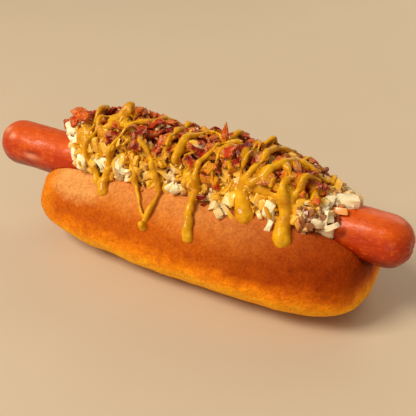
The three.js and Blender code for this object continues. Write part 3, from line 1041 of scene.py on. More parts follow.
@dataclass(frozen=True)
class FloorFinish(Finish):
    """A plain pale table top."""

    name: str = "pale_table"
    gloss: Gloss = Gloss(specular=0.3)
    near: Colour = (0.6, 0.48, 0.35)
    far: Colour = (0.55, 0.43, 0.3)

    def look(self, paint: Paint, place: Socket) -> Look:
        """The table top, with the faintest unevenness.

        Args:
            paint: the tree.
            place: the shaded point.

        Returns:
            Its look.
        """
        cloud = Effect.MOTTLE.on(paint, place, Size=160.0, Contrast=1.2)
        normal = paint.bump(paint.noise(place, 3.0), 0.02)
        return paint.mix(cloud, self.near, self.far), paint.spread(cloud, 0.55, 0.65), normal


# ---- Frankfurter, bun and heap ----


@dataclass(frozen=True)
class Mark:
    """A dent or a bump in the frankfurter's skin.

    It has a place along X and an angle, and its half sizes and height are in millimetres.
    """

    x: float
    angle: float
    half_length: float
    half_width: float
    height: float

    def at(self, x: Array, angle: Array, radius: float) -> Array:
        """How much of the mark lies at places of a frankfurter of a radius, from 0 to 1."""
        off = np.radians((angle - self.angle + 180.0) % 360.0 - 180.0) * radius / self.half_width
        return np.exp(-(((x - self.x) / self.half_length) ** 2) - off**2)


@dataclass
class Frankfurter:
    """The long frankfurter, with a pucker at each tip and a few marks in its skin."""

    length: float = 215.6
    radius: float = 11.5
    axis_height: float = 38.0
    sway: float = 0.9
    taper: float = 0.4
    pucker: float = 1.1
    pucker_radius: float = 2.4
    wrinkle: float = 0.16
    wrinkle_count: float = 9.0
    wrinkle_radius: float = 4.2
    wrinkle_width: float = 2.2
    sides: int = 112
    cap_steps: int = 22
    body_steps: int = 150
    relief: tuple[Ripples, ...] = (Ripples(0.16, 24, 3), Ripples(0.05, 6, 4))
    full_crease: float = 0.55
    creases: tuple[Mark, ...] = (
        Mark(-82.5, 168, 4.6, 0.75, -0.55), Mark(-98.6, 132, 1.3, 2, -0.45),
        Mark(-93, 150, 2.6, 0.5, -0.15), Mark(88, 160, 5, 0.6, -0.14),
        Mark(96, 118, 3.2, 0.6, -0.12),
    )
    # The bumps are painted pale. The two at the left tip are a painted highlight.
    bumps: tuple[Mark, ...] = (
        Mark(-82.5, 178, 4.2, 1.5, 0.45), Mark(-100.6, 122, 2, 2.2, 0.3),
        Mark(-96.4, 138, 1.6, 1.8, 0.25),
    )
    finish: Finish = SkinFinish()

    def sideways(self, x: Numbers) -> Numbers:
        """Sideways place of the axis at x."""
        return self.sway * np.sin(2.0 * math.pi * x / self.length)

    def stations(self) -> tuple[Array, Array]:
        """Where the rings of its skin stand.

        Returns:
            Their places along it, and the share of the full radius at each.
        """
        straight = self.length / 2 - self.radius
        angles = (math.pi / 2) * (1.0 - (np.arange(self.cap_steps) + 0.25) / self.cap_steps)
        caps = straight + self.radius * np.sin(angles)
        body = np.linspace(-straight, straight, self.body_steps)
        places = np.concatenate([-caps, body, caps[::-1]])
        shares = np.concatenate([np.cos(angles), np.ones(self.body_steps), np.cos(angles)[::-1]])
        return places, shares

    def tips(self, points: Array, angle: Array) -> Array:
        """How far the skin is drawn in and wrinkled round each tip.

        Args:
            points: points of the skin.
            angle: their angles round the axis.

        Returns:
            A height at each.
        """
        x, y, z = points.T
        off_axis = np.hypot(y - self.sideways(x), z - self.axis_height)
        half = self.length / 2
        capped = eased(np.abs(x), half - self.radius, half - 0.5 * self.radius)
        drawn = -self.pucker * np.exp(-((off_axis / self.pucker_radius) ** 2))
        turn = np.radians(angle)
        rays = np.sin(turn * self.wrinkle_count + 1.1 * np.sin(turn * 2.0))
        ring = np.exp(-(((off_axis - self.wrinkle_radius) / self.wrinkle_width) ** 2))
        return capped * (drawn + self.wrinkle * rays * ring)

    def build(self) -> Piece:
        """Makes the frankfurter.

        Returns:
            The finished piece.
        """
        places, shares = self.stations()
        radii = shares * (self.radius - self.taper * eased(-places, 0.0, self.length / 2))
        turn = np.radians(np.linspace(0.0, 360.0, self.sides, endpoint=False))
        rings = np.empty((len(places), self.sides, 3))
        rings[:, :, 0] = places[:, None]
        rings[:, :, 1] = self.sideways(places)[:, None] + radii[:, None] * np.cos(turn)
        rings[:, :, 2] = self.axis_height + radii[:, None] * np.sin(turn)
        piece = lofted("frankfurter", rings)
        points = points_of(piece)
        x, y, z = points.T
        angle = np.degrees(np.arctan2(z - self.axis_height, y - self.sideways(x)))
        creases = np.array([mark.at(x, angle, self.radius) for mark in self.creases])
        bumps = np.array([mark.at(x, angle, self.radius) for mark in self.bumps])
        depths = np.array([-mark.height for mark in self.creases])
        heights = np.array([mark.height for mark in self.bumps])
        height = uneven(points, self.relief) - depths @ creases + heights @ bumps
        raised(piece, height + self.tips(points, angle))
        # How deep each crease is, which the skin turns into painted shade.
        write_values(piece, "crease", np.clip(depths / self.full_crease @ creases, 0.0, 1.0))
        # How much of a bump lies at each point. The skin paints it pale, and at the left tip that is a
        # painted highlight.
        write_values(piece, "pale", np.clip(bumps.sum(axis=0), 0.0, 1.0))
        dressed(coated(piece, self.finish.material()), "sausage_skin", "sausage")
        return piece


@dataclass
class Bun:
    """The soft bun, split along its top, with the groove that the frankfurter lies in.

    A power says how square a rounded form is, where 2 is round. The groove fits the frankfurter below its
    axis, runs up to the lips and then flares out past the top.
    """

    frankfurter: Frankfurter
    length: float = 168.5
    width: float = 73.0
    height: float = 47.5
    shift: float = 7.6
    waist: float = 20.0
    pressed: float = 1.2
    section_power: float = 2.1
    plan_power: float = 4.0
    crown_power: float = 3.2
    base_power: float = 4.5
    left_slimness: float = 0.86
    left_base_power: float = 2.8
    gap: float = 0.35
    groove_spread: float = 4.2
    groove_flare: float = 9.0
    groove_top: float = 90.0
    groove_past: float = 8.0
    groove_stations: int = 60
    groove_steps: int = 30
    lip_height: float = 44.0
    stations: int = 150
    sides: int = 110
    voxel: float = 0.85
    soft_rounds: int = 14
    crumb_depth: Span = (0.9, 2.6)
    relief: tuple[Ripples, ...] = (Ripples(0.2, 34, 7), Ripples(0.12, 11, 8), Ripples(0.05, 3.6, 9))
    relief_height: Span = (1.5, 8)
    relief_depth: Span = (3.5, 1)
    finish: Finish = CrustFinish()

    def share(self, x: Numbers) -> Array:
        """A place along the bun as a share from -1 to 1."""
        return 2.0 * (np.asarray(x, float) - self.shift) / self.length

    def surface(self, x: Numbers, degrees: Numbers, margin: float = 0.0) -> Array:
        """Points of the outer surface.

        Args:
            x: places along the bun.
            degrees: angles round its section, from +Y over the top.
            margin: how far the surface is moved out.

        Returns:
            The points.
        """
        share = self.share(x)
        leftness = eased(-share, -0.6, 1.0)
        slimness = 1.0 + (self.left_slimness - 1.0) * leftness
        power = self.base_power + (self.left_base_power - self.base_power) * leftness
        across, up = section(degrees, self.section_power)
        half_width = self.width / 2 * slimness * outline(share, self.plan_power) + margin
        crown = (self.height - self.waist) * outline(share, self.crown_power) + margin
        base = (self.waist + self.pressed) * outline(share, power) + margin
        z = self.waist + np.where(up > 0, crown, base) * up
        return np.stack(np.broadcast_arrays(x, half_width * across, np.maximum(z, -margin)), axis=-1)

    def lip(self, x: Numbers) -> Array:
        """How far a lip stands off the axis at x."""
        share = np.clip(self.share(x), -1.0, 1.0)
        return self.frankfurter.radius + 2 * self.gap + self.groove_spread * (1.0 - share**2)

    def groove(self) -> Piece:
        """Makes the cut: half round under the axis, then straight up to the lips and out past them.

        Returns:
            The solid to take away.
        """
        sausage = self.frankfurter
        radius = sausage.radius + self.gap
        turns = math.pi * (1.0 + np.arange(self.groove_steps) / self.groove_steps)
        low = sausage.axis_height
        round_part = [(radius * math.cos(turn), low + radius * math.sin(turn)) for turn in turns]
        reach = self.length / 2 + self.groove_past
        rings = []
        for x in np.linspace(self.shift - reach, self.shift + reach, self.groove_stations):
            lip = float(self.lip(x))
            flared = lip + self.groove_flare
            ring = [
                (radius, low), (lip, self.lip_height), (flared, self.groove_top),
                (-flared, self.groove_top), (-lip, self.lip_height), *round_part,
            ]
            middle = float(sausage.sideways(x))
            rings.append([(x, y + middle, z) for y, z in ring])
        return lofted("groove", np.array(rings))

    def build(self) -> Piece:
        """Makes the bun.

        Returns:
            The finished piece.
        """
        steps = (np.arange(self.stations) + 0.35) / (self.stations - 0.3)
        places = self.shift - np.cos(math.pi * steps) * self.length / 2
        angles = np.linspace(0.0, 360.0, self.sides, endpoint=False)
        piece = lofted("bread", self.surface(places[:, None], angles[None, :]))
        whole = search_tree(piece)
        cutter = self.groove()
        cut = piece.modifiers.new("split", "BOOLEAN")
        cut.operation = "DIFFERENCE"
        cut.object = cutter
        cut.solver = "EXACT"
        baked(piece)
        removed(cutter)
        remeshed(piece, self.voxel, self.soft_rounds)
        points = points_of(piece)
        depth = np.array([whole.find_nearest(Vector(point * MM))[3] for point in points]) / MM
        write_values(piece, "crumb", eased(depth, *self.crumb_depth))
        shown = eased(points[:, 2], *self.relief_height) * eased(depth, *self.relief_depth)
        raised(piece, uneven(points, self.relief) * shown)
        dressed(coated(piece, self.finish.material()), "bun_crust", "bun")
        return piece


@dataclass
class Heap:
    """The form of the heap: a long mound on the frankfurter, with its foot between the lips.

    The crest is its height over the frankfurter's axis at places along it. Its left end leans over. Bacon
    covers it from bacon_left to bacon_right, between the angles far_edge and near_edge. The near edge sags
    in the middle and rises towards both ends, by angles too.
    """

    bun: Bun
    left: float = -66.0
    right: float = 79.0
    half_width: float = 17.5
    foot: float = 7.0
    power: float = 2.3
    root_height: float = 41.0
    left_round: float = 20.0
    right_round: float = 12.0
    end_share: float = 0.3
    sink_sideways: float = 0.12
    lean: float = 7.5
    lean_along: Span = (-46, -62)
    lean_round: Span = (92, 148)
    bacon_left: float = -62.0
    bacon_right: float = 67.0
    far_edge: Span = (24, 40)
    near_edge: float = 138.0
    sag: float = 10.0
    sag_middle: float = 14.0
    sag_half: float = 12.0
    left_rise: float = 22.0
    left_rise_along: Span = (-34, -52)
    right_rise: float = 8.0
    right_rise_along: Span = (56, 62)
    ragged: Ripples = Ripples(9, 13, 41)
    crest: tuple[Span, ...] = (
        (-66, 16), (-60, 21.5), (-50, 25.5), (-34, 29.5), (-10, 27.5),
        (20, 27), (44, 26.5), (58, 20.5), (69, 15), (79, 11.5),
    )

    @property
    def foot_height(self) -> float:
        """Height of the line that angles round the heap are measured from."""
        return self.bun.frankfurter.axis_height + self.foot

    def surface(self, x: Array, degrees: Array, sink: float) -> Array:
        """Points of the heap.

        Args:
            x: places along the heap.
            degrees: angles round it, from the far side over the top.
            sink: how far inside the heap's surface the points are.

        Returns:
            The points.
        """
        x, degrees = np.broadcast_arrays(x, degrees)
        left_end = (self.left + self.left_round - x) / self.left_round
        right_end = (x - self.right + self.right_round) / self.right_round
        end = np.clip(np.maximum(left_end, right_end), 0.0, 1.0)
        across, up = section(degrees, self.power)
        taper = self.end_share + (1.0 - self.end_share) * outline(end, 2.0)
        half_width = self.half_width * taper - sink * self.sink_sideways
        places, heights = np.array(self.crest, float).T
        crest = smooth_run(places, heights, x) - self.foot - sink
        y = self.bun.frankfurter.sideways(x) + half_width * across
        return np.stack([x, y, self.foot_height + crest * up], axis=-1)

    def mound(self, name: str, sink: float, stations: int, steps: int) -> Piece:
        """The mound as a closed skin.

        Args:
            name: its name.
            sink: how far inside the heap's surface it lies.
            stations: rings along it.
            steps: steps round each ring's arch.

        Returns:
            The object.
        """
        places = np.linspace(self.left + 0.6 * sink, self.right - 0.6 * sink, stations)
        angles = np.linspace(0.0, 180.0, steps)
        arch = self.surface(places[:, None], angles[None, :], sink)
        arch[:, :, 1] *= 1.0 - 0.5 * sink / self.half_width
        leaning = self.lean * eased(places, *self.lean_along)
        arch[:, :, 0] += leaning[:, None] * eased(angles, *self.lean_round)
        narrowing = np.minimum(1.0, (arch[:, 0, 1] - arch[:, -1, 1]) / 2 / self.half_width)
        reach = narrowing * (self.bun.lip(places) - 1.0)
        middle = self.bun.frankfurter.sideways(places)
        near, far = (places + leaning, middle - reach), (places, middle + reach)
        lip, root = self.bun.lip_height, self.root_height
        feet = [
            np.stack([x, y, np.full_like(places, height)], axis=-1)
            for (x, y), height in ((near, lip), (near, root), (far, root), (far, lip))
        ]
        return lofted(name, np.concatenate([arch, np.stack(feet, axis=1)], axis=1))

    def depth_of(self, points: Array) -> Array:
        """How deep points lie under the heap's surface.

        Args:
            points: the points.

        Returns:
            A depth for each, below 0 outside.
        """
        skin = self.mound("heap_skin", 0.0, 160, 70)
        tree = search_tree(skin)
        depths = []
        for point in points:
            place = Vector(point) * MM
            nearest, normal, _, _ = tree.find_nearest(place)
            depths.append((nearest - place).dot(normal) / MM)
        removed(skin)
        return np.array(depths)

    def angle_of(self, points: Array) -> Array:
        """The angle of points round the heap's line, from the far side over the top, in degrees."""
        y = points[:, 1] - self.bun.frankfurter.sideways(points[:, 0])
        return np.degrees(np.arctan2(points[:, 2] - self.foot_height, y)) % 360.0

    def bacon_cover(self, points: Array) -> Array:
        """How thickly bacon lies over the crest, in clumps.

        Args:
            points: points of the heap.

        Returns:
            The cover at each, from 0 to 1.
        """
        x = points[:, 0]
        near_edge = self.near_edge + self.sag * np.exp(-(((x - self.sag_middle) / self.sag_half) ** 2))
        left_rise = self.left_rise * eased(x, *self.left_rise_along)
        near_edge -= left_rise + self.right_rise * eased(x, *self.right_rise_along)
        ragged = self.ragged.at(points)
        angle = self.angle_of(points) + ragged
        along = x + 0.3 * ragged
        cover = eased(angle, *self.far_edge) * eased(angle, near_edge + 6.0, near_edge - 8.0)
        cover *= eased(along, self.bacon_left - 5.0, self.bacon_left + 3.0)
        return cover * eased(along, self.bacon_right + 3.0, self.bacon_right - 4.0)


@dataclass(frozen=True)
class Zone:
    """A part of the heap with soft edges: how it sets in along X and in height, and its limit towards +Y."""

    along: Span
    height: Span
    limit: float = math.inf

    def at(self, points: Array) -> Array:
        """How far each point lies in the zone, from 0 to 1."""
        x, y, z = points.T
        return eased(x, *self.along) * eased(z, *self.height) * (y < self.limit)


# ---- Chopped pieces ----


# Where the cuts next to a block's edges lie, the angle of an edge that looks cut, and how many points are
# tried for each square of a scatter's spacing.
EDGE_LINE = 0.84
CRISP = math.radians(52.0)
CROWDING = 2.5


@dataclass(frozen=True)
class ChipForm:
    """The form of one chopped piece.

    Its edge lengths, bend, roughness and lumps are in millimetres; skew is the share of its half size by
    which each corner may be off; crisp is whether its edges look cut.
    """

    size: Triple
    squareness: float
    bend: float
    roughness: float
    seed: int
    divisions: int = 3
    skew: float = 0.3
    lumps: float = 0.0
    crisp: bool = True

    def block(self) -> tuple[Array, list]:
        """A block whose faces are cut into a grid, with a cut close to each edge.

        Returns:
            Its points, from -1 to 1 along each axis, and its faces.
        """
        n = self.divisions
        cuts = np.concatenate([[-1.0], np.linspace(-EDGE_LINE, EDGE_LINE, n - 1), [1.0]])
        index: dict[tuple, int] = {}
        faces = []
        for axis, side, u, v in product(range(3), (0, n), range(n), range(n)):
            corners = ((side, u, v), (side, u + 1, v), (side, u + 1, v + 1), (side, u, v + 1))
            loop = tuple(index.setdefault(tuple(np.roll(place, axis)), len(index)) for place in corners)
            faces.append(loop if side else loop[::-1])
        return cuts[np.array(list(index))], faces

    def skin(self) -> tuple[Array, list]:
        """The piece: a rounded block, skewed, roughened and bent.

        Returns:
            Its points, and its faces.
        """
        cube, faces = self.block()
        size = np.array(self.size)
        reach = (np.abs(cube) ** self.squareness).sum(axis=1) ** (1.0 / self.squareness)
        block = cube / reach[:, None] * size / 2
        stream = np.random.default_rng(self.seed)
        for corner in np.array(np.meshgrid(*[(-1, 1)] * 3)).T.reshape(-1, 3):
            weight = np.prod((1.0 + corner * cube) / 2, axis=1)
            block += self.skew * weight[:, None] * stream.uniform(-1.0, 1.0, 3) * size / 2
        block += self.roughness * stream.normal(size=block.shape) * np.minimum(1.0, size / 4.0)
        outwards = block / np.maximum(0.1, np.linalg.norm(block, axis=1))[:, None]
        block += Ripples(self.lumps, 2.8, self.seed).at(block)[:, None] * outwards
        block[:, 2] += self.bend * (1.0 - (2.0 * block[:, 0] / self.size[0]) ** 2)
        block[:, 2] -= block[:, 2].mean()
        return block, faces


def chipped(piece: Piece, form: ChipForm, grain: Array) -> Piece:
    """Gives chopped pieces their grain and their cut edges.

    Args:
        piece: the pieces.
        form: the form of the first.
        grain: each point's place in its own piece.

    Returns:
        The same pieces.
    """
    write_values(piece, "grain", grain)
    if form.crisp:
        piece.data.set_sharp_from_angle(angle=CRISP)
    return piece


class GrowthTree(Sketch):
    """A geometry tree that grows meshes, with named inputs for its sizes and its finish."""

    def __init__(self, name: str, inputs: Sockets) -> None:
        """Opens the tree.

        Args:
            name: its name.
            inputs: the kind of each input besides the geometry and the finish, by name.
        """
        sockets = {"Geometry": SocketKind.GEOMETRY, **inputs, "Finish": SocketKind.MATERIAL}
        grown = {"Geometry": SocketKind.GEOMETRY}
        super().__init__(new_group(name, GroupKind.GEOMETRY, sockets, grown))
        self.given = self.add("NodeGroupInput").outputs

    def carried(self, name: str) -> Socket:
        """A number that the mesh carries."""
        return self.add("GeometryNodeInputNamedAttribute", {"Name": name}, data_type="FLOAT").outputs[0]

    def close(self, geometry: Socket) -> None:
        """Ends the tree: instances become real and get their finish.

        Args:
            geometry: what has grown.
        """
        real = self.add("GeometryNodeRealizeInstances", {0: geometry}).outputs[0]
        finished = self.add("GeometryNodeSetMaterial", {"Geometry": real, "Material": self.given["Finish"]})
        self.add("NodeGroupOutput", {0: finished.outputs[0]})

    def grow(self, host: Piece, values: dict[str, object]) -> None:
        """Runs the tree on a host, whose mesh becomes the result.

        Args:
            host: the object that the tree starts from.
            values: the tree's inputs, by name.
        """
        modifier = host.modifiers.new("grow", "NODES")
        modifier.node_group = self.tree
        for socket in self.tree.interface.items_tree:
            if socket.in_out == "INPUT" and socket.name in values:
                modifier[socket.identifier] = values[socket.name]
        baked(host)


@dataclass(frozen=True)
class Scatter:
    """How pieces are scattered: spacing and lift in millimetres, tilt in radians, scales and seed."""

    spacing: float
    lift: Span
    tilt: float
    scales: Span
    seed: int


class Draw(Enum):
    """The kinds of random value, each with its lower input on the node that draws it."""

    VECTOR = ("FLOAT_VECTOR", 0)
    NUMBER = ("FLOAT", 2)
    WHOLE = ("INT", 4)


class ScatterTree(GrowthTree):
    """Scatters pieces over a surface, no closer than a spacing, where the surface's cover value allows."""

    def __init__(self) -> None:
        """Draws the tree."""
        names = ("Spacing", "Lowest", "Highest", "Tilt", "Smallest", "Largest")
        numbers = dict.fromkeys(names, SocketKind.NUMBER)
        kinds = {"Pieces": SocketKind.COLLECTION, **numbers, "Seed": SocketKind.WHOLE}
        super().__init__("scattered_pieces", kinds)
        self.draws = 0
        given = self.given
        spacing, tilt = given["Spacing"], given["Tilt"]
        fed = {
            "Mesh": given["Geometry"], "Seed": given["Seed"], "Distance Min": spacing,
            "Density Max": self.divided(CROWDING, self.times(spacing, spacing)),
            "Density Factor": self.carried("cover"),
        }
        points = self.add("GeometryNodeDistributePointsOnFaces", fed, distribute_method="POISSON").outputs
        lift = self.random(Draw.NUMBER, given["Lowest"], given["Highest"])
        offset = self.stretched(points["Normal"], lift)
        moved = self.add("GeometryNodeSetPosition", {"Geometry": points["Points"], "Offset": offset})
        back = self.times(tilt, -1.0)
        least = self.add("ShaderNodeCombineXYZ", {0: back, 1: back, 2: 0.0}).outputs[0]
        most = self.add("ShaderNodeCombineXYZ", {0: tilt, 1: tilt, 2: 2 * math.pi}).outputs[0]
        turn = self.add("FunctionNodeEulerToRotation", {0: self.random(Draw.VECTOR, least, most)}).outputs[0]
        fed = {0: points["Rotation"], 1: turn}
        turned = self.add("FunctionNodeRotateRotation", fed, rotation_space="LOCAL").outputs[0]
        fed = {"Collection": given["Pieces"], "Separate Children": True, "Reset Children": True}
        kit = self.add("GeometryNodeCollectionInfo", fed).outputs[0]
        fed = {
            "Points": moved.outputs[0], "Instance": kit, "Pick Instance": True, "Rotation": turned,
            "Instance Index": self.random(Draw.WHOLE, 0, 1000),
            "Scale": self.random(Draw.VECTOR, given["Smallest"], given["Largest"]),
        }
        placed = self.add("GeometryNodeInstanceOnPoints", fed).outputs[0]
        fed = {"Geometry": placed, "Name": "tone", "Value": self.random(Draw.NUMBER, 0.0, 1.0)}
        toned = self.add("GeometryNodeStoreNamedAttribute", fed, data_type="FLOAT", domain="INSTANCE")
        self.close(toned.outputs[0])

    def random(self, draw: Draw, low: object, high: object) -> Socket:
        """A random value for each point, from a stream of its own.

        Args:
            draw: the kind of value.
            low: the least it can be.
            high: the most it can be.

        Returns:
            The value.
        """
        kind, first = draw.value
        self.draws += 1
        seed = self.plus(self.given["Seed"], 37.0 * self.draws)
        fed = {first: low, first + 1: high, "Seed": seed}
        return self.add("FunctionNodeRandomValue", fed, data_type=kind).outputs[first // 2]

    def run(self, bed: Piece, forms: tuple[ChipForm, ...], scatter: Scatter, material: Material) -> Piece:
        """Scatters pieces over a surface.

        Args:
            bed: the surface, which is used up.
            forms: the forms of the pieces.
            scatter: how they are scattered.
            material: their finish.

        Returns:
            The scattered pieces as one plain mesh.
        """
        kit = bpy.data.collections.new("kit")
        for form in forms:
            points, faces = form.skin()
            piece = chipped(new_object(f"form_{len(kit.objects)}", points, faces), form, points)
            bpy.context.scene.collection.objects.unlink(piece)
            kit.objects.link(piece)
        lowest, highest = (lift * MM for lift in scatter.lift)
        smallest, largest = scatter.scales
        values = {
            "Pieces": kit, "Spacing": scatter.spacing * MM, "Lowest": lowest, "Highest": highest,
            "Tilt": scatter.tilt, "Smallest": smallest, "Largest": largest, "Seed": scatter.seed,
            "Finish": material,
        }
        self.grow(bed, values)
        for piece in list(kit.objects):
            removed(piece)
        bpy.data.collections.remove(kit)
        return bed


@dataclass(frozen=True)
class Placed:
    """A chopped piece put where it shows: its form, place, turn and tilt in degrees, lift and tone."""

    form: ChipForm
    x: float
    angle: float
    turn: float
    tilt: float
    lift: float
    tone: float


class Ground:
    """What loose pieces and mustard are laid on, as seen from outside the heap's line."""

    far = 70.0

    def __init__(self, heap: Heap, pieces: list[Piece]) -> None:
        """Reads the pieces as they are now."""
        self.heap = heap
        self.trees = [search_tree(piece) for piece in pieces]

    def reach(self, x: float, angle: float) -> float:
        """How far the outermost surface lies from the heap's line.

        Args:
            x: the place along the heap.
            angle: the angle round it, in degrees.

        Returns:
            The distance, or 0 where nothing is met.
        """
        out = self.outwards(angle)
        start = (self.line(x) + out * self.far) * MM
        hits = [tree.ray_cast(start, -out, self.far * MM)[3] for tree in self.trees]
        met = [hit / MM for hit in hits if hit is not None]
        return self.far - min(met) if met else 0.0

    def line(self, x: float) -> Vector:
        """The point of the heap's line at x, in millimetres."""
        return Vector((x, float(self.heap.bun.frankfurter.sideways(x)), self.heap.foot_height))

    def outwards(self, angle: float) -> Vector:
        """The direction away from the heap's line at an angle."""
        return Vector((0.0, math.cos(math.radians(angle)), math.sin(math.radians(angle))))

    def put(self, name: str, placed: list[Placed]) -> Piece:
        """Puts single pieces on the ground.

        Args:
            name: the name of the result.
            placed: the pieces.

        Returns:
            All of them as one mesh.
        """
        blocks, grains, tones = [], [], []
        along = Vector((1.0, 0.0, 0.0))
        for item in placed:
            block, faces = item.form.skin()
            out = self.outwards(item.angle)
            basis = Matrix((along, out.cross(along), out)).transposed()
            turn = Euler((math.radians(item.tilt), 0.0, math.radians(item.turn))).to_matrix()
            place = self.line(item.x) + out * (self.reach(item.x, item.angle) + item.lift)
            blocks.append((block @ np.array(basis @ turn).T + np.array(place), faces))
            grains.append(block)
            tones.append(np.full(len(block), item.tone))
        piece = chipped(clustered(name, blocks), placed[0].form, np.concatenate(grains))
        write_values(piece, "tone", np.concatenate(tones))
        return piece


# ---- Toppings ----


@dataclass
class OnionHeap:
    """Chopped onion on a lumpy core, with pieces that spill over the near lip.

    Onion lies where the heap rises out of the bun, thinner under the bacon, at both ends and by the relish,
    and it is painted darker towards the right end, as painted shade.
    """

    heap: Heap
    core_sink: float = 2.6
    core_relief: tuple[Ripples, ...] = (Ripples(0.45, 5.2, 31), Ripples(0.3, 2.2, 32))
    core_tones: Ripples = Ripples(0.25, 6, 33)
    core_mesh: tuple[int, int] = (260, 90)
    # Painted shade on the core, low on the near side at the right end.
    core_shade: float = 0.9
    shade_along: Span = (58, 63)
    shade_round: Span = (150, 166)
    bed_sink: float = 1.2
    bed_mesh: tuple[int, int] = (120, 60)
    above_lips: Span = (43, 46)
    covered: Span = (41.8, 43.6)
    left_end: Span = (-54, -62)
    right_end: Span = (68, 75)
    left_foot: Zone = Zone((-56.5, -59.5), (61, 57))
    right_foot: Zone = Zone((74, 76), (63, 60), 2)
    relish_foot: Zone = Zone((58, 62), (52, 46), 0)
    relish_end: Span = (74, 71)
    # Loose pieces are painted browner towards the right end, and the deep value rises there: painted shade.
    browning: Span = (56, 63)
    browner: float = 0.22
    browner_mince: float = 0.3
    # How the painted shade grows with depth in the heap's gaps, and how much of it lies at the right end.
    deep_under: Span = (0, 1.8)
    deep_end: float = 0.22
    deep_along: Span = (60, 68)
    spill_x: float = 27.5
    spill_half: float = 7.5
    spill_top: float = 104.0
    spill_end: float = 131.0
    finish: Finish = OnionFinish()
    forms: tuple[ChipForm, ...] = (
        ChipForm((7, 5.2, 2.8), 8, 0.8, 0.14, 11, 4, 0.42),
        ChipForm((5.8, 4.8, 3.4), 8, 0.3, 0.14, 12, 4, 0.42),
        ChipForm((8.6, 3.4, 2.4), 8, 1.2, 0.14, 13, 4, 0.42),
        ChipForm((7.2, 5.6, 1.9), 8, 1.5, 0.14, 14, 4, 0.42),
        ChipForm((5, 4, 3), 8, 0.3, 0.12, 15, 3, 0.45),
        ChipForm((4.6, 3.6, 2.2), 8, 0.5, 0.12, 16, 3, 0.45),
    )
    crumbs: tuple[ChipForm, ...] = (
        ChipForm((3, 2.2, 1.6), 5, 0.1, 0.12, 17, 2, 0.5),
        ChipForm((3.8, 1.6, 1.2), 5, 0.3, 0.12, 18, 2, 0.5),
        ChipForm((2, 1.8, 1.4), 5, 0, 0.12, 19, 2, 0.5),
    )
    loose: tuple[Scatter, ...] = (
        Scatter(4.7, (-1.2, 0.8), 0.75, (0.8, 1.15), 21),
        Scatter(4.2, (-0.5, 1.4), 1.1, (0.5, 0.85), 22),
    )
    fine: Scatter = Scatter(1.75, (-1.4, 1), 1.5, (0.6, 1.25), 25)
    spilled: tuple[Scatter, ...] = (
        Scatter(3, (0.6, 1.8), 0.8, (0.45, 0.8), 23),
        Scatter(2.2, (0.3, 1.5), 1.1, (0.3, 0.55), 24),
    )

    def core(self, material: Material) -> Piece:
        """Makes the lumpy core under the loose pieces, dark where bacon covers it and with painted shade at
        the right end.

        Args:
            material: the onion's finish.

        Returns:
            The core.
        """
        piece = self.heap.mound("onion_core", self.core_sink, *self.core_mesh)
        points = points_of(piece)
        raised(piece, uneven(points, self.core_relief) * eased(points[:, 2], *self.above_lips))
        points = points_of(piece)
        # Painted shade low on the near side at the right end, mixed in like the dark mush under the bacon.
        shade = self.core_shade * eased(points[:, 0], *self.shade_along)
        shade *= eased(self.heap.angle_of(points), *self.shade_round)
        write_values(piece, "under_bacon", np.maximum(self.heap.bacon_cover(points), shade))
        write_values(piece, "tone", np.clip(0.55 + self.core_tones.at(points), 0.0, 1.0))
        write_values(piece, "grain", points)
        return coated(piece, material)

    def bed(self, scatter: Scatter) -> Piece:
        """Makes the surface that onion is scattered over.

        Args:
            scatter: how it will be scattered.

        Returns:
            The heap's surface with its cover.
        """
        piece = self.heap.mound("onion_bed", self.bed_sink, *self.bed_mesh)
        points = points_of(piece)
        x, _, z = points.T
        bare = self.relish_foot.at(points) * eased(x, *self.relish_end)
        cover = (1.0 - 0.85 * self.heap.bacon_cover(points)) * eased(z, *self.covered) * (1.0 - 0.7 * bare)
        if scatter is self.fine:
            cover *= 1.0 - 0.6 * np.maximum(eased(x, *self.left_end), eased(x, *self.right_end))
        for foot in (self.left_foot, self.right_foot):
            cover *= 1.0 - foot.at(points)
        write_values(piece, "cover", cover)
        return piece

    def spill_bed(self) -> Piece:
        """Makes the near shoulder of the bun.

        Returns:
            The shoulder, with cover only where the onion spills down it.
        """
        places = np.linspace(-72.0, 76.0, 150)[:, None]
        angles = np.linspace(self.spill_top, 132.0, 30)[None, :]
        fall = np.clip((angles - self.spill_top) / (self.spill_end - self.spill_top), 0.0, 1.2)
        half = self.spill_half * (1.15 - fall)
        inside = eased(np.abs(places - self.spill_x), half + 1.5, np.maximum(half - 1.5, 0.0) - 0.01)
        piece = sheet("spill_bed", self.heap.bun.surface(places, angles, 0.2))
        write_values(piece, "cover", (inside * (fall < 1.05)).ravel())
        return piece

    def browned(self, piece: Piece, share: float, full: float = 1.0) -> None:
        """Darkens loose pieces by a share towards the right end, as painted shade, to at most the tone full.
        """
        tones = values_of(piece, "tone") + share * eased(points_of(piece)[:, 0], *self.browning)
        write_values(piece, "tone", full * np.minimum(tones, 1.0))

    def build(self, tree: ScatterTree, below: list[Piece]) -> list[Piece]:
        """Makes the onion.

        Args:
            tree: the tree that scatters pieces.
            below: the pieces that it lies on.

        Returns:
            The core, the larger pieces and the mince.
        """
        material = self.finish.material()
        core = self.core(material)
        loose = [tree.run(self.bed(scatter), self.forms, scatter, material) for scatter in self.loose]
        for layer in loose:
            self.browned(layer, self.browner)
        spilled = [tree.run(self.spill_bed(), self.forms, scatter, material) for scatter in self.spilled]
        mince = tree.run(self.bed(self.fine), self.crumbs, self.fine, material)
        self.browned(mince, self.browner_mince, MINCE_TONE)
        mince.name = "onion_mince"
        layers = [*loose, *spilled, self.shown(Ground(self.heap, [*below, core]))]
        pieces = [core, coated(joined("onion_pieces", layers), material), coated(mince, material)]
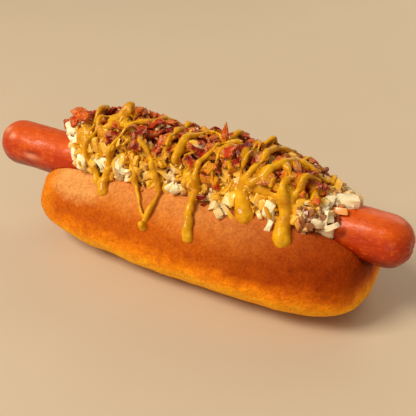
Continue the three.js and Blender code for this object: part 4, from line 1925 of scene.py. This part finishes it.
        # Each piece gets its deep value, which the finish paints as shade: more deep in the heap's gaps and
        # at the right end.
        for piece in pieces:
            points = points_of(piece)
            under = eased(self.heap.depth_of(points), *self.deep_under)
            end = self.deep_end * eased(points[:, 0], *self.deep_along)
            write_values(piece, "deep", np.maximum(eased(points[:, 2], *self.above_lips) * under, end))
        return pieces

    def shown(self, ground: Ground) -> Piece:
        """Makes the larger pieces that stand out at both ends of the heap.

        Args:
            ground: what they lie on.

        Returns:
            All of them as one mesh.
        """
        block = ChipForm((7.2, 6.2, 4.6), 8, 0.3, 0.14, 51, 4, 0.3)
        column = ChipForm((7.8, 4.8, 3.8), 5, 0.4, 0.14, 57, 4, 0.3)
        dice = ChipForm((5.4, 4.4, 3.4), 8, 0.4, 0.14, 52, 4, 0.4)
        rod = ChipForm((6.2, 2.8, 2.4), 8, 0.4, 0.12, 53, 4, 0.3)
        drop = ChipForm((4.4, 4.2, 3.8), 3.5, 0, 0.1, 54, 4, 0.15)
        leaf = ChipForm((7, 4.4, 2), 8, 1.2, 0.14, 55, 4, 0.45)
        # Pieces near the right end with tones over 1 are painted brown, as painted shade in the hollow there.
        rows = (
            (block, 77.6, 84, 20, 8, 1.8, 0.1), (dice, 73.5, 82, 40, 12, 1.6, 0.1),
            (rod, 75.5, 176, 35, -8, 1.4, 0.1), (dice, 72.5, 194, 10, 6, 1.2, 0.15),
            (rod, 70.5, 157, 75, 10, 1, 0.1), (leaf, 71.5, 168, 95, -10, 0.9, 0.25),
            (leaf, 70, 132, 85, 10, 1, 0.05), (rod, 70, 150, 100, -10, 0.9, 0.15),
            (column, -60.5, 110, 80, 10, 0.6, 0.02), (column, -54, 138, 75, 0, 1, 0.02),
            (column, -52.5, 161, 85, -8, 1.6, 0), (column, -46.5, 172, 80, 4, 1.8, 0),
            (leaf, -40, 166, 80, -20, 1.2, 0), (column, -34.5, 168, 85, 10, 1.2, 0),
            (rod, -26, 158, 80, 0, 1, 0), (column, 48.5, 168, 70, 10, 1.4, 0),
            (rod, 50, 178, 95, 0, 1.6, 0), (rod, 50.5, 187, 75, 0, 1.4, 0),
            (drop, 47, 183, 20, 0, 1, 0.3), (leaf, 60, 158, 30, 10, 0.6, 1.1),
            (leaf, 64, 168, 60, 10, 0.8, 1.12), (rod, 66.5, 178, 20, -10, 0.8, 1.16),
            (leaf, 67.5, 160, 100, -12, 0.8, 1.05), (rod, 62.5, 180, 120, 0, 0.8, 1.14),
            (leaf, 68.5, 148, 75, 12, 1, 0.6), (rod, 65, 156, 30, 0, 1, 0.95),
        )
        placed = [Placed(*row) for row in rows]
        stream = np.random.default_rng(56)
        for left, right, lowest in ((-63.0, -56.0, 120.0), (66.0, 78.0, 105.0)):
            for number in range(12):
                turn, tilt = stream.uniform(0.0, 360.0), stream.uniform(-35.0, 35.0)
                x, angle = stream.uniform(left, right), stream.uniform(30.0, lowest)
                form = (dice, rod, leaf, drop)[number % 4]
                placed.append(Placed(form, x, angle, turn, tilt, 0.2, 0.15))
        return ground.put("onion_shown", placed)


@dataclass
class BaconLayer:
    """Crumbled bacon over the crest of the onion, in clumps of large and small crumbs."""

    heap: Heap
    clumps: Ripples = Ripples(0.42, 9, 73)
    finish: Finish = BaconFinish()
    forms: tuple[ChipForm, ...] = (
        ChipForm((8.6, 5.6, 2.4), 4.5, 2.2, 0.14, 61, 5, 0.6, 0.3),
        ChipForm((7, 4.8, 3), 4.5, 1, 0.14, 62, 5, 0.6, 0.35),
        ChipForm((10.4, 4, 2), 4.5, 3.2, 0.12, 63, 5, 0.55, 0.25),
        ChipForm((6.8, 5.6, 2), 4.5, 1.8, 0.12, 64, 5, 0.6, 0.3),
        ChipForm((5.2, 3.4, 2.2), 4.5, 0.8, 0.12, 65, 4, 0.6, 0.25),
        ChipForm((4.6, 2.8, 1.6), 4.5, 1, 0.1, 66, 4, 0.6, 0.2),
    )
    loose: tuple[Scatter, ...] = (
        Scatter(4.6, (-1, 1.2), 0.9, (0.75, 1.15), 71),
        Scatter(3.2, (-0.6, 1.8), 1.3, (0.4, 0.8), 72),
    )
    shard: Placed = Placed(
        ChipForm((3.8, 2.4, 13), 1.25, 0, 0.16, 81, 6, 0.1, 0, False), 18, 89, 0, -8, 6.2, 0.74
    )

    def bed(self) -> Piece:
        """Makes the surface that bacon is scattered over.

        Returns:
            The heap's surface with its cover of bacon.
        """
        piece = self.heap.mound("bacon_bed", 0.8, 140, 70)
        points = points_of(piece)
        clumps = 0.5 + self.clumps.at(points)
        thickness = np.clip(0.35 + 0.9 * eased(clumps, 0.1, 0.6), 0.0, 1.0)
        write_values(piece, "cover", self.heap.bacon_cover(points) * thickness)
        return piece

    def build(self, tree: ScatterTree, below: list[Piece]) -> Piece:
        """Makes the bacon, apart from the shard on its crest.

        Args:
            tree: the tree that scatters pieces.
            below: the pieces that it lies on.

        Returns:
            The bacon as one piece.
        """
        material = self.finish.material()
        layers = [tree.run(self.bed(), self.forms, scatter, material) for scatter in self.loose]
        layers.append(self.shown(Ground(self.heap, [*below, *layers])))
        return coated(joined("bacon_crumbs", layers), material)

    def shown(self, ground: Ground) -> Piece:
        """Makes the crumbs that stand out: dark chunks, rashers, and specks on the lip.

        Args:
            ground: what they lie on.

        Returns:
            All of them as one mesh.
        """
        chunk = ChipForm((7.6, 5.2, 3.4), 4.5, 1.2, 0.12, 82, 6, 0.5, 0.4)
        rasher = ChipForm((10.4, 4.6, 2.2), 4.5, 2.4, 0.12, 83, 6, 0.5, 0.35)
        bit = ChipForm((5.2, 4, 2.4), 4.5, 0.8, 0.12, 85, 5, 0.55, 0.3)
        speck = ChipForm((2.6, 1.6, 1.2), 3.5, 0.1, 0.16, 84, 3, 0.5)
        sliver = ChipForm((5, 2.2, 1.8), 4.5, 0.6, 0.12, 87, 4, 0.5)
        lump = ChipForm((4.6, 4, 4.4), 3, 0.2, 0.1, 86, 5, 0.4, 0.25, False)
        rows = (
            (chunk, 65, 110, 100, 0.36), (chunk, -10, 136, 80, 0.3), (chunk, -5, 143, 100, 0.04),
            (bit, -13, 143, 70, 0.45), (chunk, -3, 128, 60, 0.12), (sliver, 17.5, 173, 8, 0),
            (bit, -28, 90, 20, 0.55), (chunk, -33, 131, 85, 0.06), (chunk, -18, 122, 80, 0.03),
            (chunk, -17, 131, 60, 0.08), (bit, -30, 142, 80, 0.25), (bit, -16, 108, 10, 0.5),
            (chunk, -7, 132, 75, 0.42), (bit, -5, 145, 30, 0.1), (chunk, -6, 116, 80, 0.48),
            (rasher, 9, 118, 165, 0.02), (rasher, 10, 137, 150, 0.14), (bit, 17, 138, 20, 0.1),
            (bit, 13, 94, 0, 0.3), (bit, 20, 107, 50, 0.5), (chunk, 25, 116, 80, 0.58),
            (rasher, 31, 107, 100, 0.05), (chunk, 40, 110, 100, 0.06), (bit, 40, 135, 140, 0.1),
            (chunk, 47, 108, 120, 0.7), (chunk, 52, 119, 30, 0.62), (bit, 58, 117, 60, 0.25),
            (chunk, 62, 104, 10, 0.6), (bit, 51, 139, 10, 0.15), (bit, 20, 136, 70, 0.55),
            (bit, 23, 150, 100, 0.55), (bit, -54, 101, 10, 0.8), (chunk, -61, 88, 40, 0.82),
            (bit, -58, 92, 70, 0.8), (bit, -50, 110, 0, 0.72), (bit, -59, 108, 140, 0.6),
            (bit, -33, 88, 20, 0.75), (bit, -27, 86, 70, 0.7), (bit, 67, 140, 20, 0.55),
            (speck, -34.5, 186, 30, 0.3), (speck, -31, 184, 80, 0.5), (speck, -14, 187, 10, 0.5),
            (speck, 14, 186, 100, 0.1), (speck, 18, 184, 20, 0.1), (lump, -30.5, 89, 30, 0.62),
            (bit, 30, 126, 40, 0.3), (bit, 39, 134, 60, 0.06), (bit, 52, 139, 20, 0.04),
            (chunk, 59, 98, 70, 0.12), (chunk, 62, 114, 40, 0.28), (bit, 60, 135, 10, 0.45),
        )
        placed = [
            Placed(form, x, angle, turn, 10.0 * math.sin(7.0 * x), 0.5 if form == speck else 0.9, tone)
            for form, x, angle, turn, tone in rows
        ]
        return ground.put("bacon_shown", placed)

    def topped(self, bacon: Piece, ground: Ground) -> Piece:
        """The bacon with the shard that stands up from its crest, which mustard doesn't cover."""
        material = bacon.data.materials[0]
        return coated(joined("bacon_crumbs", [bacon, ground.put("bacon_shard", [self.shard])]), material)


@dataclass
class Relish:
    """A stick of carrot and a few bits of pickle in the onion near the right end."""

    bits: int = 18
    along: Span = (61, 72)
    angles: Span = (152, 190)
    rod: ChipForm = ChipForm((7.4, 2.9, 2.6), 6, 0.4, 0.1, 91, 4, 0.2)
    bit: ChipForm = ChipForm((3.4, 2.4, 1.6), 4, 0.3, 0.2, 92, 3, 0.5)
    shred: ChipForm = ChipForm((4.6, 1.5, 1.1), 4, 0.7, 0.14, 93, 3, 0.4)
    finish: Finish = RelishFinish()

    def build(self, ground: Ground) -> Piece:
        """Makes the relish.

        Args:
            ground: what it lies on.

        Returns:
            The finished piece.
        """
        placed = [Placed(self.rod, 75.5, 143.0, 8.0, 4.0, 1.2, 1.0)]
        stream = np.random.default_rng(94)
        for number in range(self.bits):
            form = self.bit if number % 3 else self.shred
            x, angle = stream.uniform(*self.along), stream.uniform(*self.angles)
            turn, tilt = stream.uniform(0.0, 360.0), stream.uniform(-40.0, 40.0)
            placed.append(Placed(form, x, angle, turn, tilt, 0.1, 0.0))
        return coated(ground.put("relish_bits", placed), self.finish.material())


@dataclass(frozen=True)
class Strand:
    """A strand of mustard: its places as (x, angle, half thickness), and the most that it stands proud."""

    places: tuple[Triple, ...]
    proud: float = 2.4


def strand(radii: Span, *places: Span, proud: float = 2.4) -> Strand:
    """A strand whose half thickness changes evenly from one end to the other.

    Args:
        radii: half thickness at its start and at its end.
        *places: its places as (x, angle).
        proud: the most that it stands over what it lies on.

    Returns:
        The strand.
    """
    start, end = radii
    last = len(places) - 1
    rows = ((x, angle, start + (end - start) * i / last) for i, (x, angle) in enumerate(places))
    return Strand(tuple(rows), proud)


ZIGZAG: tuple[Strand, ...] = (
    Strand((
        (-19, 92, 1), (-23, 98, 1), (-26, 110, 0.9), (-28, 127, 0.95), (-30, 142, 1.1), (-31, 158, 1.4),
        (-32, 172, 1.4), (-33, 186, 1.9), (-32.5, 192, 2.6), (-32, 196, 2.9),
    )),
    strand(
        (1, 1.2), (-19, 92), (-16, 78), (-14, 65), (-12, 40), (-10, 22), (-7, 40), (-5, 70), (-4, 97),
        (-4, 109),
    ),
    strand((1.1, 1.2), (-4, 109), (-4, 122)),
    strand((1.0, 1.5), (-44, 155), (-42, 168), (-38, 176), (-37, 186), (-34, 195)),
    strand(
        (1.2, 1.1), (-51, 20), (-50, 40), (-48, 70), (-46, 90), (-46, 110), (-45.5, 130), (-45, 150),
        (-43.5, 163),
    ),
    strand((2.2, 2.0), (-48.5, 122), (-47, 136), (-45.5, 150), (-44, 160), proud=0.8),
    strand((0.9, 0.9), (-36, 92), (-42, 108), (-41, 120), (-41, 131), (-42, 142)),
    strand((1.2, 2.4), (-30, 88), (-31.5, 92), (-32.5, 98), (-34, 104), proud=1.4),
    strand((2.6, 1.8), (-33, 101), (-36, 106), (-35, 113), (-37, 119), proud=1.3),
    strand((1.6, 2.2), (-39, 96), (-36, 100), (-33, 99), (-30, 103), (-29, 109), proud=1.2),
    strand((0.8, 0.8), (-33, 92), (-30, 95), (-27, 97)),
    strand((1.0, 1.2), (-31, 88), (-30, 92), (-28.5, 97), proud=1.0),
    Strand((
        (-16, 127, 1.1), (-14, 130, 1.1), (-12, 134, 1.2), (-10, 140, 1.3), (-8, 150, 1.4), (-6, 162, 1.3),
        (-5, 176, 1.3), (-4, 186, 1.2), (-5, 193, 1.3), (-6, 201, 1.8),
    )),
    strand((0.9, 1.0), (-17, 163), (-16, 180), (-13, 188), (-10, 194), (-6, 201)),
    strand((1.8, 2.0), (-6.4, 200), (-6, 204)),
    Strand((
        (25, 84, 0.9), (19, 88, 0.9), (13, 80, 0.9), (8, 78, 0.9), (6, 90, 1), (3, 103, 1.3), (2, 114, 2),
        (2, 125, 2.1), (2, 138, 1.5),
    )),
    Strand((
        (25, 86, 0.9), (19, 93, 1), (17, 101, 1), (17, 113, 1.1), (15, 126, 1.1), (14, 134, 1.1),
        (14, 148, 1.7), (13, 163, 2.4), (13, 176, 2.2), (14, 186, 1.8), (16, 192, 2.2), (17, 201, 2.8),
    )),
    strand((1.2, 0.9), (31, 82), (27, 92), (24, 103), (21, 109), (21, 122), (21, 133)),
    strand((1.1, 1.0), (31, 82), (31, 45), (27, 22), (22, 40), (20, 70), (19, 90)),
    strand((1.0, 1.0), (33, 75), (34, 92), (34, 104), (34, 118), (33, 130), (35, 140)),
    Strand((
        (46, 70, 1.1), (43, 86, 1.2), (42, 99, 1.2), (41, 114, 1.3), (38, 128, 1.7), (36, 140, 2.4),
        (35, 152, 3.3), (35, 165, 3.9), (37, 178, 4.2), (38, 186, 4),
    ), 2.7),
    strand((1.2, 1.1), (46, 70), (47, 40), (43, 20), (38, 40), (35, 70), (33, 75)),
    strand((1.3, 1.1), (48, 84), (54, 78), (60, 74), (66, 66), proud=1.3),
    strand((0.9, 1.5), (51, 96), (49, 106), (46, 118), (43, 131), (39, 143), proud=1.6),
    strand((0.9, 1.8), (64, 92), (62, 100), (61, 107), (60, 120), (59, 132), (58, 142), (58, 150), proud=1.8),
    Strand((
        (51, 108, 1.2), (54, 120, 1.5), (53, 133, 1.8), (54, 145, 2.6), (55, 158, 3), (56, 172, 3.2),
        (56, 184, 3.4), (57, 190, 3.9), (57.6, 194, 4.1),
    )),
    strand((0.9, 1.1), (66, 66), (67, 50), (65, 30), (60, 20), (55, 40), (52, 75), (51, 108), proud=0.9),
    strand((3.0, 2.6), (41, 143), (46, 144), (51, 147), proud=0.6),
    strand((2.0, 2.0), (42, 148), (47, 149), (51, 151), proud=0.5),
    strand((2.2, 2.0), (-51, 124), (-50, 136), (-48, 148), (-46, 158), proud=0.4),
    strand((2.2, 1.8), (-37, 130), (-37, 143), (-36, 152), proud=0.4),
    strand((2.0, 1.8), (-22, 128), (-21, 140), (-20, 150), proud=0.4),
    strand((2.0, 2.4), (6, 142), (8, 150), (10, 158), proud=0.4),
    strand((2.0, 1.8), (26, 134), (27, 144), (28, 152), proud=0.4),
    strand((1.8, 1.6), (64, 120), (65, 130), (66, 138), proud=0.4),
)


class StrandTree(GrowthTree):
    """Gives guide lines their round body, as thick as their thickness value says."""

    def __init__(self) -> None:
        """Draws the tree."""
        super().__init__("strand_body", {"Sides": SocketKind.WHOLE})
        curve = self.add("GeometryNodeMeshToCurve", {0: self.given["Geometry"]}).outputs[0]
        ring = {"Resolution": self.given["Sides"], "Radius": 1.0}
        profile = self.add("GeometryNodeCurvePrimitiveCircle", ring).outputs[0]
        fed = {
            "Curve": curve, "Profile Curve": profile, "Scale": self.carried("thickness"), "Fill Caps": True
        }
        self.close(self.add("GeometryNodeCurveToMesh", fed).outputs[0])


@dataclass
class Mustard:
    """The mustard: strands laid over everything, melted together where they meet.

    Small gaps in the ground are bridged and its steps softened before a strand is laid on it.
    """

    heap: Heap
    step: float = 0.8
    bridge: float = 2.0
    softness: float = 1.8
    usual_reach: float = 22.0
    sunk: float = 0.5
    rise: float = 1.45
    thinning: Ripples = Ripples(0.2, 7, 29)
    thinned: Span = (2.1, 1.3)
    relief: tuple[Ripples, ...] = (Ripples(0.14, 6, 18), Ripples(0.04, 2.2, 19))
    voxel: float = 0.42
    soft_rounds: int = 4
    sides: int = 18
    dabs: int = 60
    dab_places: Span = (-47, 62)
    near_angles: Span = (122, 172)
    far_angles: Span = (14, 62)
    dab_radii: Span = (0.7, 1.5)
    dab_lean: float = 3.0
    dab_fall: Span = (3, 13)
    ball: ChipForm = ChipForm((2, 2, 2), 2, 0, 0, 1, 7, 0)
    finish: Finish = MustardFinish()

    def laid(self, item: Strand, ground: Ground) -> tuple[Array, Array]:
        """Lays a strand on the ground, along a smooth run through its places.

        Args:
            item: the strand.
            ground: what it lies on.

        Returns:
            The points of its middle and its half thickness at each.
        """
        places = np.array(item.places, float)
        steps = np.hypot(np.diff(places[:, 0]), np.radians(np.diff(places[:, 1])) * self.usual_reach)
        along = np.concatenate([[0.0], np.cumsum(steps)])
        fine = np.linspace(0.0, along[-1], max(3, int(along[-1] / self.step) + 1))
        rows = np.stack([smooth_run(along, column, fine) for column in places.T], axis=1)
        reach = np.array([ground.reach(x, angle) for x, angle, _ in rows])
        window = int(self.bridge / self.step)
        padded = np.pad(reach, window, mode="edge")
        reach = np.max([padded[i:i + len(reach)] for i in range(2 * window + 1)], axis=0)
        spread = np.arange(-3 * window, 3 * window + 1) * self.step / self.softness
        weights = np.exp(-0.5 * spread**2)
        reach = np.convolve(np.pad(reach, 3 * window, mode="edge"), weights / weights.sum(), mode="valid")
        spots = rows * (1.0, math.radians(self.usual_reach), 0.0)
        radii = rows[:, 2] * (1.0 + self.thinning.at(spots) * eased(rows[:, 2], *self.thinned))
        proud = np.minimum(self.rise * radii, item.proud)
        middles = [
            ground.line(x) + ground.outwards(angle) * (far + rise - radius)
            for (x, angle, radius), far, rise in zip(rows, reach - self.sunk, proud)
        ]
        return np.array(middles), radii

    def scattered_dabs(self) -> list[Strand]:
        """Draws short dabs of mustard in the onion, on the near side and on the far side.

        Returns:
            The dabs.
        """
        stream = np.random.default_rng(17)
        dabs = []
        for number in range(self.dabs):
            x = stream.uniform(*self.dab_places)
            angle = stream.uniform(*(self.near_angles if number % 5 < 3 else self.far_angles))
            radius = stream.uniform(*self.dab_radii)
            lean, fall = stream.uniform(-self.dab_lean, self.dab_lean), stream.uniform(*self.dab_fall)
            places = ((x + share * lean, angle + share * fall) for share in (0.0, 0.5, 1.0))
            dabs.append(strand((radius, 0.8 * radius), *places, proud=0.7))
        return dabs

    def build(self, tree: StrandTree, ground: Ground) -> tuple[Piece, Array]:
        """Makes the mustard.

        Args:
            tree: the tree that gives strands their body.
            ground: what the strands lie on.

        Returns:
            The finished piece, and the middles of all strands with their half thickness, for the stain.
        """
        strands = [self.laid(item, ground) for item in (*ZIGZAG, *self.scattered_dabs())]
        edges = []
        count = 0
        for middles, _ in strands:
            edges.extend((i, i + 1) for i in range(count, count + len(middles) - 1))
            count += len(middles)
        middles, radii = (np.concatenate(parts) for parts in zip(*strands))
        guide = new_object("mustard_guide", middles, [], edges)
        write_values(guide, "thickness", radii * MM)
        material = self.finish.material()
        tree.grow(guide, {"Sides": self.sides, "Finish": material})
        block, faces = self.ball.skin()
        ends = [(block * width[end] + middle[end], faces) for middle, width in strands for end in (0, -1)]
        whole = joined("mustard", [guide, clustered("mustard_ends", ends)])
        remeshed(whole, self.voxel, self.soft_rounds)
        raised(whole, uneven(points_of(whole), self.relief))
        return coated(whole, material), np.concatenate([middles, radii[:, None]], axis=1)


STAIN_REACH = 4.8


def stain(pieces: list[Piece], middles: Array) -> None:
    """Writes how close the mustard is to each point of each piece, from 0 to 1.

    Args:
        pieces: the pieces that the mustard stains.
        middles: places of the mustard's middle with its half thickness.
    """
    tree = KDTree(len(middles))
    for index, row in enumerate(middles):
        tree.insert(Vector(row[:3]), index)
    tree.balance()
    for piece in pieces:
        away = []
        for point in points_of(piece):
            _, index, distance = tree.find(Vector(point))
            away.append(max(0.0, distance - middles[index, 3]) / STAIN_REACH)
        write_values(piece, "stain", np.exp(-np.array(away) ** 1.3))


# ---- Dressing and the studio ----


def dressed(piece: Piece, slot: str, *nodes: str) -> None:
    """Gives a finished piece its place in the frame.

    Args:
        piece: the finished object.
        slot: the record's material slot.
        *nodes: the CAD nodes that it stands for.
    """
    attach(piece, BODY)
    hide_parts(*nodes)
    triangles = sum(len(face.vertices) - 2 for face in piece.data.polygons)
    log.info("%s: %d triangles, slot %s", piece.name, triangles, slot)


def aimed(name: str, data: bpy.types.ID, place: Vector, way: Vector) -> Piece:
    """Puts a camera or a light in the scene.

    Args:
        name: its name.
        data: the camera or the light.
        place: where it stands, in metres.
        way: the direction that it looks in.

    Returns:
        The object.
    """
    holder = bpy.data.objects.new(name, data)
    holder.location = place
    holder.rotation_euler = way.to_track_quat("-Z", "Y").to_euler()
    bpy.context.scene.collection.objects.link(holder)
    return holder


@dataclass(frozen=True)
class Lamp:
    """A square soft light: the direction from the food to it, its distance, side, power and colour."""

    name: str
    way: Triple
    distance: float
    size: float
    power: float
    colour: Colour


@dataclass
class Studio:
    """A pale table, soft light and the camera. Sizes in metres."""

    camera_place: Triple = (0.1822, -0.316, 0.2456)
    camera_way: Triple = (-0.4103, 0.7526, -0.515)
    lens: float = 78.07
    sensor: float = 36.0
    middle: Triple = (0, 0, 0.03)
    floor_half: float = 1.6
    floor_steps: int = 24
    floor_swell: float = 0.26
    lamps: tuple[Lamp, ...] = (
        Lamp("key", (-0.42, -0.55, 0.74), 1.4, 0.62, 21.0, (1.0, 0.92, 0.78)),
        Lamp("back", (0.15, 0.85, 0.55), 0.9, 0.6, 2.4, (1.0, 0.9, 0.72)),
        Lamp("fill", (0.55, -1.0, 0.06), 1.0, 0.6, 2.2, (1.0, 0.84, 0.62)),
    )
    surround: Colour = (1.0, 0.92, 0.8)
    surround_strength: float = 0.32
    finish: Finish = FloorFinish()

    def camera(self) -> None:
        """Puts up the camera, level, with no shift and no depth of field."""
        camera = bpy.data.cameras.new("camera")
        camera.lens = self.lens
        camera.sensor_width = self.sensor
        camera.clip_start = 0.01
        bpy.context.scene.camera = aimed("camera", camera, Vector(self.camera_place), Vector(self.camera_way))

    def floor(self) -> None:
        """Lays the table top, a wide slab that swells up at its far edges like a backdrop."""
        half = self.floor_half / MM
        line = np.linspace(-half, half, self.floor_steps + 1)
        x, y = np.meshgrid(line, line)
        z = self.floor_swell / MM * eased(np.hypot(x, y), 0.75 * half, 1.4 * half)
        coated(sheet("table", np.stack([x, y, z], axis=-1)), self.finish.material())

    def light(self) -> None:
        """Puts up the soft studio light: a key from the upper left, a low fill, and a pale surrounding."""
        for lamp in self.lamps:
            light = bpy.data.lights.new(lamp.name, "AREA")
            light.shape = "SQUARE"
            light.size = lamp.size
            light.energy = lamp.power
            light.color = lamp.colour
            towards = Vector(lamp.way).normalized()
            aimed(lamp.name, light, Vector(self.middle) + towards * lamp.distance, -towards)
        world = bpy.data.worlds.new("studio")
        world.use_nodes = True
        background = world.node_tree.nodes["Background"]
        background.inputs["Color"].default_value = opaque(self.surround)
        background.inputs["Strength"].default_value = self.surround_strength
        bpy.context.scene.world = world
        bpy.context.scene.view_settings.view_transform = "Standard"


def main() -> None:
    """Builds the hot dog and its studio in order."""
    logging.basicConfig(level=logging.INFO, format="%(name)s: %(message)s")
    studio = Studio()
    studio.camera()
    studio.floor()
    studio.light()
    frankfurter = Frankfurter()
    bun = Bun(frankfurter)
    heap = Heap(bun)
    bread = [frankfurter.build(), bun.build()]

    scatter = ScatterTree()
    core, onions, mince = OnionHeap(heap).build(scatter, bread)
    below = [*bread, core, onions]
    layer = BaconLayer(heap)
    bacon = layer.build(scatter, below)
    relish = Relish().build(Ground(heap, below))
    ground = Ground(heap, [*below, bacon])
    mustard, middles = Mustard(heap).build(StrandTree(), ground)
    bacon = layer.topped(bacon, ground)
    stain([core, onions, mince, bacon], middles)

    for onion in (core, onions, mince):
        dressed(onion, "onion", "onion_heap")
    dressed(bacon, "bacon", "bacon_heap")
    dressed(relish, "relish", "onion_heap")
    dressed(mustard, "mustard", "bun", "onion_heap", "bacon_heap")


if __name__ == "__main__":
    main()
